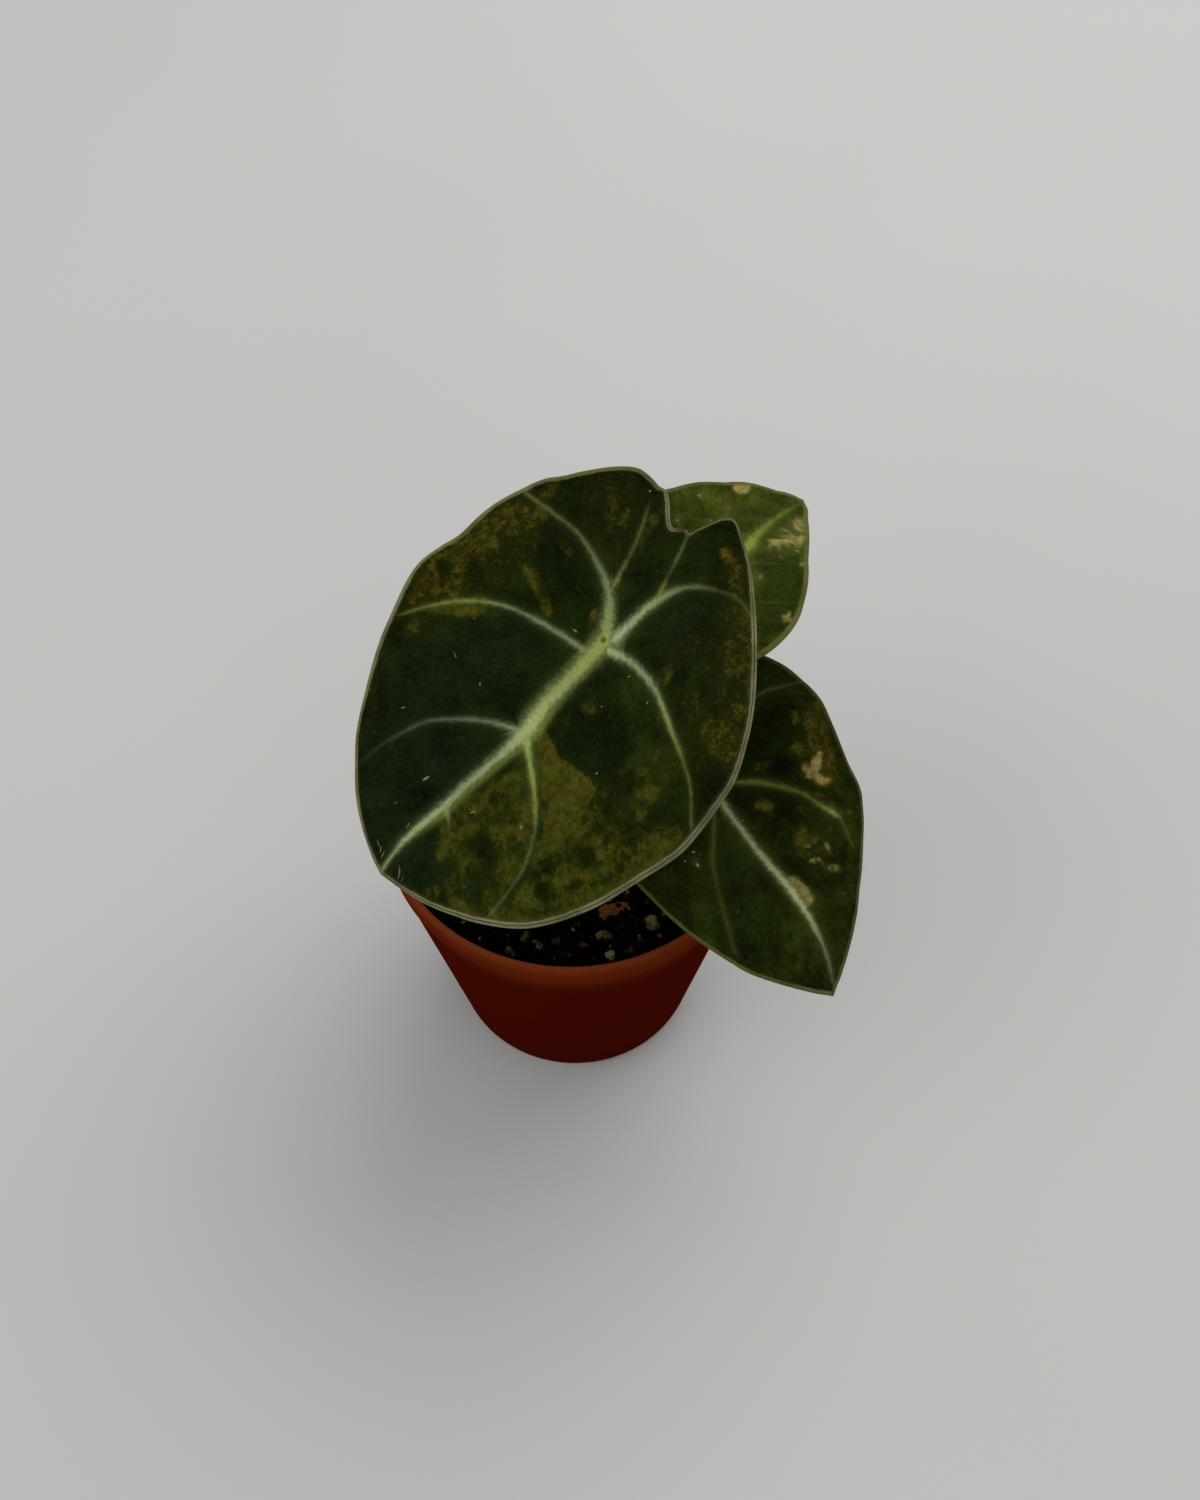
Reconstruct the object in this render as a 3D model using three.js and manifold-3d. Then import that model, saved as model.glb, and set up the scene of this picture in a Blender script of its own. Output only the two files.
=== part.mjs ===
// A young Alocasia reginula "Black Velvet" with three velvety leaves, in a 5.5 cm nursery pot.
// Millimetres, +Z up. The origin is the centre of the pot's underside, and the largest leaf
// hangs over the rim towards -X -Y.

import * as THREE from "three";
import { mergeVertices } from "three/addons/utils/BufferGeometryUtils.js";
import Module from "manifold-3d";

const wasm = await Module();
wasm.setup();

const GAP = 0.3; // clear space between two pieces that touch

// ---- Pot: a thin tapered plastic cup with a collar at its rim ----

const RIM_RADIUS = 27.5;
const POT_HEIGHT = 49;
const WALL = 1.1;
const LIP_INNER_RADIUS = 26.3;
const FLOOR_INNER_RADIUS = 18.2;
const FLOOR_THICKNESS = 1.2;
const COLLAR_HEIGHT = 5.2;
const EDGE = 0.5; // bevel of the rim and of the foot
const DRAIN_HOLES = 6;
const DRAIN_RADIUS = 2.2;
const DRAIN_CIRCLE = 12.5;
const DRAIN_SIDES = 14;
const DRAIN_CUT = 5; // length of the cylinder that cuts a hole through the floor
const POT_SEGMENTS = 44;

// ---- Soil, with the hole that the crown stands in ----

const SOIL_HEIGHT = 44.6;
const SOIL_RINGS = [8.5, 12, 15.5, 19, 22, 24.7]; // radii of the mesh's rings on top
const SOIL_SEGMENTS = 36;
const SOIL_SWELL = 0.35; // height of the slow waves of its surface
const SOIL_RIPPLE = 0.2; // height of the quick ones
const SOIL_EDGE_DROP = 1; // how much lower it lies at the wall
const SOIL_SIDE_GAP = 0.33; // between it and the wall, measured level

// ---- Crown: the short stem that the petioles grow from ----

const CROWN_RADIUS = 5;
const CROWN_BOTTOM = 36.5;
const CROWN_SEGMENTS = 24;
const CROWN_PROFILE = [ // share of the radius, height
  [0, CROWN_BOTTOM], [0.55, 36.9], [0.9, 38.7], [1, 41.5], [1, 46], [0.93, 47.6], [0.75, 48.4], [0, 48.6],
];

// ---- Petioles ----

const PETIOLE_FOOT = 42; // height of a petiole's lower end, inside the crown
const PETIOLE_OFFSET = 2.5; // of its foot from the crown's axis
const PETIOLE_BASE_RADIUS = 1.6;
const PETIOLE_RADIUS = 1.25;
const PETIOLE_TAPER = [0.1, 0.6]; // shares of its length between which it thins
const PETIOLE_SIDES = 10;
const PETIOLE_STEPS = 15;
const PETIOLE_RISE = 16; // how far a petiole rises straight from its foot
const PETIOLE_NECK = 13; // how far it runs square to the blade under its hub

// ---- Blades ----

const BLADE_THICKNESS = 0.8;
const MARGIN_THICKNESS = 1.1;
const MARGIN_ONSET = 6; // the higher, the nearer to the margin the blade thickens
const RIB_HEIGHT = 0.5; // of the veins on the underside
const RIB_WIDTH = 1.1;
const SWELL = 0.5; // how far the blade swells up between its veins
const SWELL_REACH = 3; // distance from a vein over which it does
const FOLD_SOFTNESS = 4; // half-width of the rounded bottom of the blade's fold
const VEIN_STEPS = 14;

// Each leaf has its own frame: its origin is the hub on the blade's upper face, where the
// petiole joins, +X runs along the midrib to the tip, +Y to the side and +Z up from the face.
// heading, droop and roll turn that frame about Z, Y and X. An outline starts at the tip and
// goes round the +Y side, the lobes and the notch between them. A vein is a curve through its
// points, from its start, and the first one is the midrib.
const LEAVES = [
  {
    name: "front",
    hub: [4.4, -1.2, 88],
    heading: -139,
    droop: 22,
    roll: -8,
    fold: 0.11,
    archAcross: 0.0035,
    archToTip: 0.002,
    archToBack: 0.0015,
    wave: 0.5,
    waves: 5,
    wavePhase: 0.6,
    footAngle: 195,
    spokes: 96,
    rings: 10,
    outline: [
      [40.3, -0.4], [39.5, 3.9], [38.5, 7.5], [36.9, 11.2], [35.5, 13.8], [31.6, 18.7],
      [24.8, 22.6], [18.2, 24.6], [12.4, 26], [9.2, 25.9], [4.6, 25.4], [1.7, 24.8],
      [-4.8, 21.2], [-10, 16.9], [-14.6, 12.3], [-18.4, 7.9], [-20.8, 4.3], [-22.1, 1.2],
      [-21.2, -0.2], [-19.4, -1.1], [-17.4, -2], [-16.6, -3.4], [-16.6, -4.8], [-17.6, -5.9],
      [-18.8, -7.5], [-19.1, -9.7], [-18.9, -12.4], [-17.4, -14.4], [-13.8, -17.4],
      [-11.8, -18.9], [-9.8, -20.8], [-7, -22.3], [-3.2, -23.4], [-0.7, -23.7], [2.9, -23.7],
      [5.4, -24.3], [9, -24.8], [13.7, -23.7], [18.4, -21.9], [25, -18.5], [31.2, -14.5],
      [36.2, -8.9], [39.5, -2.8], [40.3, -0.4],
    ],
    veins: [
      [[0, 0.3], [10.8, 0.4], [15, 1], [20, 0.7], [24.4, 0.2], [33.6, -0.9], [39.9, -0.5]],
      [[2.6, 0.3], [2.7, -1.6], [3.7, -7.1], [5.4, -12.4], [8.4, -16.7], [12.5, -20.1], [15.4, -21.8]],
      [[-0.3, 0.2], [-4.8, -3.8], [-6.4, -7.3], [-7.6, -12], [-7.4, -16.2], [-6.9, -21.4]],
      [[-4.3, -3.5], [-10.5, -5.4], [-16.4, -8.2]],
      [[0.3, 0.9], [-3.1, 1.1], [-8.1, 1.4], [-12.1, 3.2], [-14.4, 7], [-14.9, 10], [-14.4, 11.8]],
      [[-8.4, 1.2], [-11.2, 0.2], [-17, -2]],
      [[0.6, 0.9], [-0.1, 5], [0.5, 9.9], [2.2, 14], [5.8, 21.1], [9.1, 24.6]],
      [[15.2, 0.4], [17.1, -3.2], [19.6, -6.5], [22.8, -9.5], [28.3, -11.5]],
      [[14.6, 0.8], [16.8, 3.6], [19.8, 7.8], [22.7, 10.7], [26.9, 13], [33.4, 13.9]],
      [[28.5, 0.3], [29.6, 1.8]],
    ],
  },
  {
    name: "right",
    hub: [18.6, -10, 69],
    heading: -54,
    droop: 28,
    roll: 5,
    fold: 0.16,
    archAcross: 0.004,
    archToTip: 0.0035,
    archToBack: 0.003,
    wave: 0.4,
    waves: 4,
    wavePhase: 2.1,
    footAngle: -45,
    spokes: 68,
    rings: 8,
    outline: [
      [32.5, 0], [30.4, 2.7], [25.4, 7.6], [22, 10.2], [19.1, 12.5], [15.9, 14.6], [14, 15.6],
      [11, 16.8], [7.1, 17], [1.7, 17.8], [-2, 18.3], [-5.7, 17.7], [-9.1, 16.2], [-12.6, 13.2],
      [-15.2, 8.6], [-13.7, 4], [-9.6, 0.6], [-12.3, -3.6], [-13.4, -8], [-10.8, -12.4],
      [-5.2, -15.7], [1, -16.7], [8.3, -15.3], [15.3, -13.1], [21.1, -10.2], [23.3, -9],
      [25.9, -6.9], [30.3, -2.6], [32.5, 0],
    ],
    veins: [
      [[0, 0], [8.5, 0.4], [12.5, 1], [17, 1.8], [24, 2.1], [28, 1.5], [32, 0.2]],
      [[1.5, -0.6], [5.3, -3], [9, -5.7], [15.3, -7.8], [20, -9.2]],
      [[1.3, 1.6], [3.1, 5.6], [7.1, 9.4], [11.5, 11.6], [16, 12]],
      [[0, 0], [-3.5, 6], [-6.6, 11], [-5.2, 17.4]],
      [[0, 0], [-2.5, -5], [-2.6, -10.5], [1.5, -15.6]],
      [[0, 0], [-5, 2.6], [-10.2, 4.4], [-13, 7.8]],
      [[0, 0], [-4.6, -2.4], [-9, -5], [-11.2, -8.6]],
    ],
  },
  {
    name: "back",
    hub: [16.6, 10, 84],
    heading: 52,
    droop: 8,
    roll: 14,
    fold: 0.14,
    archAcross: 0.006,
    archToTip: 0.004,
    archToBack: 0.003,
    wave: 0.3,
    waves: 4,
    wavePhase: 4.4,
    footAngle: 75,
    spokes: 56,
    rings: 7,
    outline: [
      [27.8, 0.2], [26.8, 2], [24.7, 3.8], [20.5, 7.9], [15, 10.8], [9.4, 13.1], [3, 13.7],
      [-3.6, 12.6], [-9, 9.7], [-12.3, 6.1], [-11.8, 3], [-8.5, 0.2], [-11.8, -2.4],
      [-12.6, -5.4], [-9.8, -8.9], [-5, -11.5], [1.1, -12.6], [7.2, -12], [13.9, -9],
      [20.8, -4.9], [25.1, -2.2], [26.6, -1.3], [27.8, 0.2],
    ],
    veins: [
      [[0, 0], [9, 0.1], [16, 0.5], [20, 0.5], [26.8, 0.1]],
      [[0.6, 0.2], [2.5, 4], [6.6, 8.4], [10.6, 12]],
      [[0.6, -0.2], [2.6, -4], [6.4, -8], [9.6, -10.6]],
      [[8, 0.1], [11.4, 3.6], [16, 6.8], [18.6, 8.6]],
      [[8, -0.1], [11.2, -3.2], [15.4, -6.2], [17.6, -6.8]],
      [[0, 0], [-4, 2.4], [-8, 4], [-10.6, 6.4]],
      [[0, 0], [-4, -2], [-8, -3.8], [-10.8, -5.6]],
    ],
  },
];

// ---- Grit on the soil: [x, y, radius, stretch] of what lies along the front rim, and the
// ---- way that the long chip points ----

const FRONT_PUMICE = [
  [-8.5, -21.8, 0.8, 1],
  [-6.4, -19.8, 0.8, 1.2],
  [-4.5, -21.2, 0.7, 1],
  [-2.1, -20.3, 0.8, 1],
  [4.6, -19.6, 0.8, 1.6],
  [5.4, -22.6, 0.9, 1],
  [8, -21.8, 0.8, 1],
  [9.8, -20.3, 0.7, 1],
  [11.2, -17.4, 1.4, 1],
];
const FRONT_BARK = [
  [5.8, -15.4, 1.2, 2.4, 0.28],
  [1.2, -17.4, 0.7, 1],
  [1.7, -20.9, 0.7, 1.1],
  [0, -22.7, 0.7, 1],
];
const HIDDEN_GRAINS = 10; // more grains under the leaves, each third one of bark
const HIDDEN_SPIRAL = { inner: 9.5, outer: 22, first: 0.35, turn: 2.4 };
const HIDDEN_RADII = [0.9, 1.05, 1.2, 1.35];
const HIDDEN_STRETCH = 1.2;
const GRAIN_SPACING = 4.5; // a spiral place nearer than this to another grain stays empty
const GRAIN_SEED = 7;
const GRAIN_LUMPS = [0.86, 1.1]; // range of a grain's corners from its middle, by its radius
const GRAIN_FLATNESS = { pumice: 0.85, bark: 0.55 };
const GRAIN_SEAT = 0.15; // share of its radius that its middle lies under the surface
const DIMPLE_GAP = 0.39; // between a grain and its dimple

const MATERIALS = {
  pot: { color: 0xa85a36, roughness: 0.5 },
  soil: { color: 0x1c1712, roughness: 1 },
  pumice: { color: 0xb9b08a, roughness: 0.95 },
  bark: { color: 0x6b3a22, roughness: 0.9 },
  crown: { color: 0x7a8a4a, roughness: 0.7 },
  petiole: { color: 0x8d9a55, roughness: 0.55 },
  blade: { color: 0x1c2713, roughness: 0.85 },
};

function material(kind) {
  return new THREE.MeshStandardMaterial({ ...MATERIALS[kind], metalness: 0 });
}

function namedMesh(name, kind, geometry) {
  const mesh = new THREE.Mesh(geometry, material(kind));
  mesh.name = name;
  return mesh;
}

// Numbers from 0 to 1, always the same for one seed.
function seededRandom(seed) {
  let state = seed;
  return () => {
    state = (state * 1664525 + 1013904223) % 4294967296;
    return state / 4294967296;
  };
}

// ---- Meshes and booleans ----

// A closed body skinned over rings of equal length, from one end point to the other.
function ringBody(firstPoint, rings, lastPoint) {
  const sides = rings[0].length;
  const points = [firstPoint, ...rings.flat(), lastPoint];
  const last = points.length - 1;
  const faces = [];
  for (let i = 0; i < sides; i += 1) {
    const next = (i + 1) % sides;
    faces.push([0, 1 + i, 1 + next]);
    for (let ring = 0; ring < rings.length - 1; ring += 1) {
      const here = 1 + ring * sides;
      const there = here + sides;
      faces.push([here + i, there + i, there + next], [here + i, there + next, here + next]);
    }
    faces.push([last, last - sides + next, last - sides + i]);
  }
  const volume = faces.reduce((sum, [a, b, c]) => {
    return sum + points[a].dot(points[b].clone().cross(points[c]));
  }, 0);
  const outward = volume > 0 ? faces : faces.map(([a, b, c]) => [a, c, b]);
  const geometry = new THREE.BufferGeometry().setFromPoints(points);
  geometry.setIndex(outward.flat());
  geometry.computeVertexNormals();
  return geometry;
}

function weld(geometry) {
  const bare = geometry.clone();
  bare.deleteAttribute("normal");
  bare.deleteAttribute("uv");
  return mergeVertices(bare, 1e-4);
}

function toSolid(geometry) {
  const welded = weld(geometry);
  return new wasm.Manifold(new wasm.Mesh({
    numProp: 3,
    vertProperties: new Float32Array(welded.attributes.position.array),
    triVerts: new Uint32Array(welded.index.array),
  }));
}

function cut(geometry, tools) {
  let solid = toSolid(geometry);
  for (const tool of tools) {
    solid = solid.subtract(toSolid(tool));
  }
  const result = solid.getMesh();
  const carved = new THREE.BufferGeometry();
  carved.setAttribute("position", new THREE.BufferAttribute(result.vertProperties, 3));
  carved.setIndex(new THREE.BufferAttribute(result.triVerts, 1));
  carved.computeVertexNormals();
  return carved;
}

// Points around the Z axis at one radius, with the height given as a number or a function.
function circle(radius, height, sides) {
  return Array.from({ length: sides }, (_, i) => {
    const angle = (2 * Math.PI * i) / sides;
    const x = radius * Math.cos(angle);
    const y = radius * Math.sin(angle);
    return new THREE.Vector3(x, y, typeof height === "number" ? height : height(x, y));
  });
}

// ---- Pot ----

function potInnerRadius(z) {
  const share = (z - FLOOR_THICKNESS) / (POT_HEIGHT - FLOOR_THICKNESS);
  return THREE.MathUtils.lerp(FLOOR_INNER_RADIUS, LIP_INNER_RADIUS, share);
}

function pot() {
  const collarFoot = POT_HEIGHT - COLLAR_HEIGHT;
  const footRadius = potInnerRadius(0) + WALL;
  const profile = [
    [0, 0],
    [footRadius - EDGE, 0],
    [footRadius, EDGE],
    [potInnerRadius(collarFoot) + WALL, collarFoot],
    [RIM_RADIUS - EDGE, collarFoot + EDGE],
    [RIM_RADIUS, POT_HEIGHT - EDGE],
    [RIM_RADIUS - EDGE, POT_HEIGHT],
    [LIP_INNER_RADIUS, POT_HEIGHT],
    [FLOOR_INNER_RADIUS, FLOOR_THICKNESS],
    [0, FLOOR_THICKNESS],
  ];
  const cup = new THREE.LatheGeometry(profile.map(([r, z]) => new THREE.Vector2(r, z)), POT_SEGMENTS);
  cup.rotateX(Math.PI / 2);
  const drains = Array.from({ length: DRAIN_HOLES }, (_, i) => {
    const angle = (2 * Math.PI * i) / DRAIN_HOLES;
    const drain = new THREE.CylinderGeometry(DRAIN_RADIUS, DRAIN_RADIUS, DRAIN_CUT, DRAIN_SIDES);
    drain.rotateX(Math.PI / 2);
    return drain.translate(DRAIN_CIRCLE * Math.cos(angle), DRAIN_CIRCLE * Math.sin(angle), 0);
  });
  return namedMesh("pot", "pot", cut(cup, drains));
}

// ---- Soil and grit ----

function soilHeight(x, y) {
  const slow = SOIL_SWELL * Math.sin(0.45 * x + 1.3) * Math.cos(0.5 * y);
  const quick = SOIL_RIPPLE * Math.sin(1.1 * x + 0.8 * y);
  return SOIL_HEIGHT + slow + quick;
}

function grainPlaces() {
  const places = [
    ...FRONT_PUMICE.map((place) => ["pumice", ...place]),
    ...FRONT_BARK.map((place) => ["bark", ...place]),
  ];
  const { inner, outer, first, turn } = HIDDEN_SPIRAL;
  for (let i = 0; i < HIDDEN_GRAINS; i += 1) {
    const radius = THREE.MathUtils.lerp(inner, outer, i / (HIDDEN_GRAINS - 1));
    const angle = first + turn * i;
    const x = radius * Math.cos(angle);
    const y = radius * Math.sin(angle);
    const size = HIDDEN_RADII[i % HIDDEN_RADII.length];
    const kind = i % 3 === 2 ? "bark" : "pumice";
    if (places.every((place) => Math.hypot(place[1] - x, place[2] - y) > GRAIN_SPACING)) {
      places.push([kind, x, y, size, HIDDEN_STRETCH]);
    }
  }
  return places;
}

// One grain, a little over half sunk in the soil, and the dimple that it lies in.
function grain([kind, x, y, radius, stretch, heading], random) {
  const shape = weld(new THREE.IcosahedronGeometry(1, 1));
  const position = shape.attributes.position;
  for (let i = 0; i < position.count; i += 1) {
    const lump = THREE.MathUtils.lerp(...GRAIN_LUMPS, random());
    position.setXYZ(i, lump * position.getX(i), lump * position.getY(i), lump * position.getZ(i));
  }
  const chance = 2 * Math.PI * random();
  const turn = heading ?? chance;
  const seat = soilHeight(x, y) - GRAIN_SEAT * radius;
  const placed = (extra) => {
    const body = shape.clone();
    body.scale(radius * stretch + extra, radius + extra, radius * GRAIN_FLATNESS[kind] + extra);
    return body.rotateZ(turn).translate(x, y, seat);
  };
  const body = placed(0);
  body.computeVertexNormals();
  return { kind, body, dimple: placed(DIMPLE_GAP) };
}

function soil(dimples) {
  const sides = SOIL_SEGMENTS;
  const holeRadius = CROWN_RADIUS + GAP;
  const holeFloor = CROWN_BOTTOM - GAP;
  const bottom = FLOOR_THICKNESS + GAP;
  const side = (z) => potInnerRadius(z) - SOIL_SIDE_GAP;
  const edge = SOIL_HEIGHT - SOIL_EDGE_DROP;
  const rings = [
    circle(holeRadius, holeFloor, sides),
    circle(holeRadius, soilHeight, sides),
    ...SOIL_RINGS.map((radius) => circle(radius, soilHeight, sides)),
    circle(side(edge), edge, sides),
    circle(side(bottom), bottom, sides),
  ];
  const middle = new THREE.Vector3(0, 0, holeFloor);
  const body = ringBody(middle, rings, new THREE.Vector3(0, 0, bottom));
  return namedMesh("soil", "soil", cut(body, dimples));
}

// ---- Leaf blades ----

function curveThrough(points) {
  const places = points.map(([x, y]) => new THREE.Vector3(x, y, 0));
  return new THREE.CatmullRomCurve3(places, false, "centripetal");
}

function distanceToSegment(point, start, end) {
  const along = end.clone().sub(start);
  const share = THREE.MathUtils.clamp(point.clone().sub(start).dot(along) / along.lengthSq(), 0, 1);
  return point.distanceTo(start.clone().addScaledVector(along, share));
}

function veinDistance(veins, x, y) {
  const point = new THREE.Vector3(x, y, 0);
  const distances = veins.flatMap((vein) => {
    return vein.slice(1).map((end, i) => distanceToSegment(point, vein[i], end));
  });
  return Math.min(...distances);
}

// Height of a blade's upper face over its own plane. reach is 0 at the hub and 1 at the margin.
function bladeHeight(leaf, x, y, reach, fromVein) {
  const fold = leaf.fold * (Math.hypot(y, FOLD_SOFTNESS) - FOLD_SOFTNESS);
  const arch = leaf.archAcross * y ** 2 + (x > 0 ? leaf.archToTip : leaf.archToBack) * x ** 2;
  const swell = SWELL * (1 - Math.exp(-((fromVein / SWELL_REACH) ** 2)));
  const wave = leaf.wave * reach ** 3 * Math.sin(leaf.waves * Math.atan2(y, x) + leaf.wavePhase);
  return fold - arch + swell + wave;
}

function bladeDepth(reach, fromVein) {
  const thickness = THREE.MathUtils.lerp(BLADE_THICKNESS, MARGIN_THICKNESS, reach ** MARGIN_ONSET);
  return thickness + RIB_HEIGHT * (1 - reach ** 2) * Math.exp(-((fromVein / RIB_WIDTH) ** 2));
}

function blade(leaf) {
  const margin = curveThrough(leaf.outline).getSpacedPoints(leaf.spokes).slice(0, leaf.spokes);
  const veins = leaf.veins.map((points) => curveThrough(points).getSpacedPoints(VEIN_STEPS));
  const upper = [];
  const lower = [];
  for (let ring = 1; ring <= leaf.rings; ring += 1) {
    const reach = ring / leaf.rings;
    const topRing = [];
    const bottomRing = [];
    for (const end of margin) {
      const x = end.x * reach;
      const y = end.y * reach;
      const fromVein = veinDistance(veins, x, y);
      const height = bladeHeight(leaf, x, y, reach, fromVein);
      topRing.push(new THREE.Vector3(x, y, height));
      bottomRing.push(new THREE.Vector3(x, y, height - bladeDepth(reach, fromVein)));
    }
    upper.push(topRing);
    lower.unshift(bottomRing);
  }
  const hub = new THREE.Vector3(0, 0, 0);
  const geometry = ringBody(hub, [...upper, ...lower], new THREE.Vector3(0, 0, -bladeDepth(0, 0)));
  const mesh = namedMesh(`leaf_${leaf.name}`, "blade", geometry);
  mesh.position.set(...leaf.hub);
  mesh.rotation.copy(leafTurn(leaf));
  return mesh;
}

function leafTurn({ roll, droop, heading }) {
  const [x, y, z] = [roll, droop, heading].map(THREE.MathUtils.degToRad);
  return new THREE.Euler(x, y, z, "ZYX");
}

// ---- Petioles and crown ----

function petiolePath(leaf) {
  const angle = THREE.MathUtils.degToRad(leaf.footAngle);
  const footX = PETIOLE_OFFSET * Math.cos(angle);
  const footY = PETIOLE_OFFSET * Math.sin(angle);
  const foot = new THREE.Vector3(footX, footY, PETIOLE_FOOT);
  const squareToBlade = new THREE.Vector3(0, 0, 1).applyEuler(leafTurn(leaf));
  const head = new THREE.Vector3(...leaf.hub).addScaledVector(squareToBlade, -bladeDepth(0, 0) - GAP);
  return new THREE.CubicBezierCurve3(
    foot,
    foot.clone().setZ(PETIOLE_FOOT + PETIOLE_RISE),
    head.clone().addScaledVector(squareToBlade, -PETIOLE_NECK),
    head,
  );
}

// A tapering stalk. extra widens and lengthens it at the foot, as its socket in the crown.
function petioleBody(leaf, extra = 0) {
  const path = petiolePath(leaf);
  const frames = path.computeFrenetFrames(PETIOLE_STEPS);
  const rings = [];
  for (let step = 0; step <= PETIOLE_STEPS; step += 1) {
    const share = step / PETIOLE_STEPS;
    const centre = path.getPointAt(share);
    const taper = THREE.MathUtils.smoothstep(share, ...PETIOLE_TAPER);
    const radius = THREE.MathUtils.lerp(PETIOLE_BASE_RADIUS, PETIOLE_RADIUS, taper) + extra;
    rings.push(Array.from({ length: PETIOLE_SIDES }, (_, i) => {
      const angle = (2 * Math.PI * i) / PETIOLE_SIDES;
      return centre.clone()
        .addScaledVector(frames.normals[step], radius * Math.cos(angle))
        .addScaledVector(frames.binormals[step], radius * Math.sin(angle));
    }));
  }
  rings[0].forEach((point) => point.setZ(point.z - extra));
  const foot = path.getPointAt(0);
  return ringBody(foot.setZ(foot.z - extra), rings, path.getPointAt(1));
}

function petiole(leaf) {
  return namedMesh(`petiole_${leaf.name}`, "petiole", petioleBody(leaf));
}

function crown() {
  const profile = CROWN_PROFILE.map(([share, z]) => new THREE.Vector2(share * CROWN_RADIUS, z));
  const stem = new THREE.LatheGeometry(profile, CROWN_SEGMENTS);
  stem.rotateX(Math.PI / 2);
  const sockets = LEAVES.map((leaf) => petioleBody(leaf, GAP));
  return namedMesh("crown", "crown", cut(stem, sockets));
}

// ---- The whole plant ----

const plant = new THREE.Group();
const random = seededRandom(GRAIN_SEED);
const grains = grainPlaces().map((place) => grain(place, random));

plant.add(pot(), soil(grains.map(({ dimple }) => dimple)), crown());
for (const leaf of LEAVES) {
  plant.add(petiole(leaf), blade(leaf));
}
for (const kind of ["pumice", "bark"]) {
  grains.filter((one) => one.kind === kind).forEach(({ body }, i) => {
    plant.add(namedMesh(`${kind}_${String(i + 1).padStart(2, "0")}`, kind, body));
  });
}

export default plant;
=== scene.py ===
"""Dresses the potted alocasia: velvet blades, stalks, crown, grit, potting mix, pot and stage."""

import math

import bmesh
import bpy
import numpy as np
from bpy.props import FloatProperty, FloatVectorProperty, IntProperty, PointerProperty
from mathutils import Euler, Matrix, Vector, noise


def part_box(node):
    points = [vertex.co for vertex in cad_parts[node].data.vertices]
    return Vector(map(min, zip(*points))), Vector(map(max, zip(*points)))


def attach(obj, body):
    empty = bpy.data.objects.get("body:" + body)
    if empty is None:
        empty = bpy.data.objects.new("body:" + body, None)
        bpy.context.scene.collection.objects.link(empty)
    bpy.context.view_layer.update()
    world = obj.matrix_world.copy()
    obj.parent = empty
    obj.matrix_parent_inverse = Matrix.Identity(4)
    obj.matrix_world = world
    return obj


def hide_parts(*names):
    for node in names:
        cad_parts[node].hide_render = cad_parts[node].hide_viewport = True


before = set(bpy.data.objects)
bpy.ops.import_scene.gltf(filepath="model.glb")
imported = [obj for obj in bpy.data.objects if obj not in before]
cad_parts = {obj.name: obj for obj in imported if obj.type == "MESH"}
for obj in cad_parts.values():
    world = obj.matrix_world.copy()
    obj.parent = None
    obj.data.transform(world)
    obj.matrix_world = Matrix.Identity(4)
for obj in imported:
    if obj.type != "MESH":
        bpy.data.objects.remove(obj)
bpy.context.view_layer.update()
POT_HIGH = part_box("pot")[1]

bl_info = {
    "name": "Potted alocasia",
    "version": (1, 0, 0),
    "blender": (4, 5, 0),
    "location": "View3D > Sidebar > Alocasia",
    "description": "Builds a small velvet-leaved alocasia in its nursery pot",
    "category": "Add Mesh",
}

MM = 0.001
BODY = "root"

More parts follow.
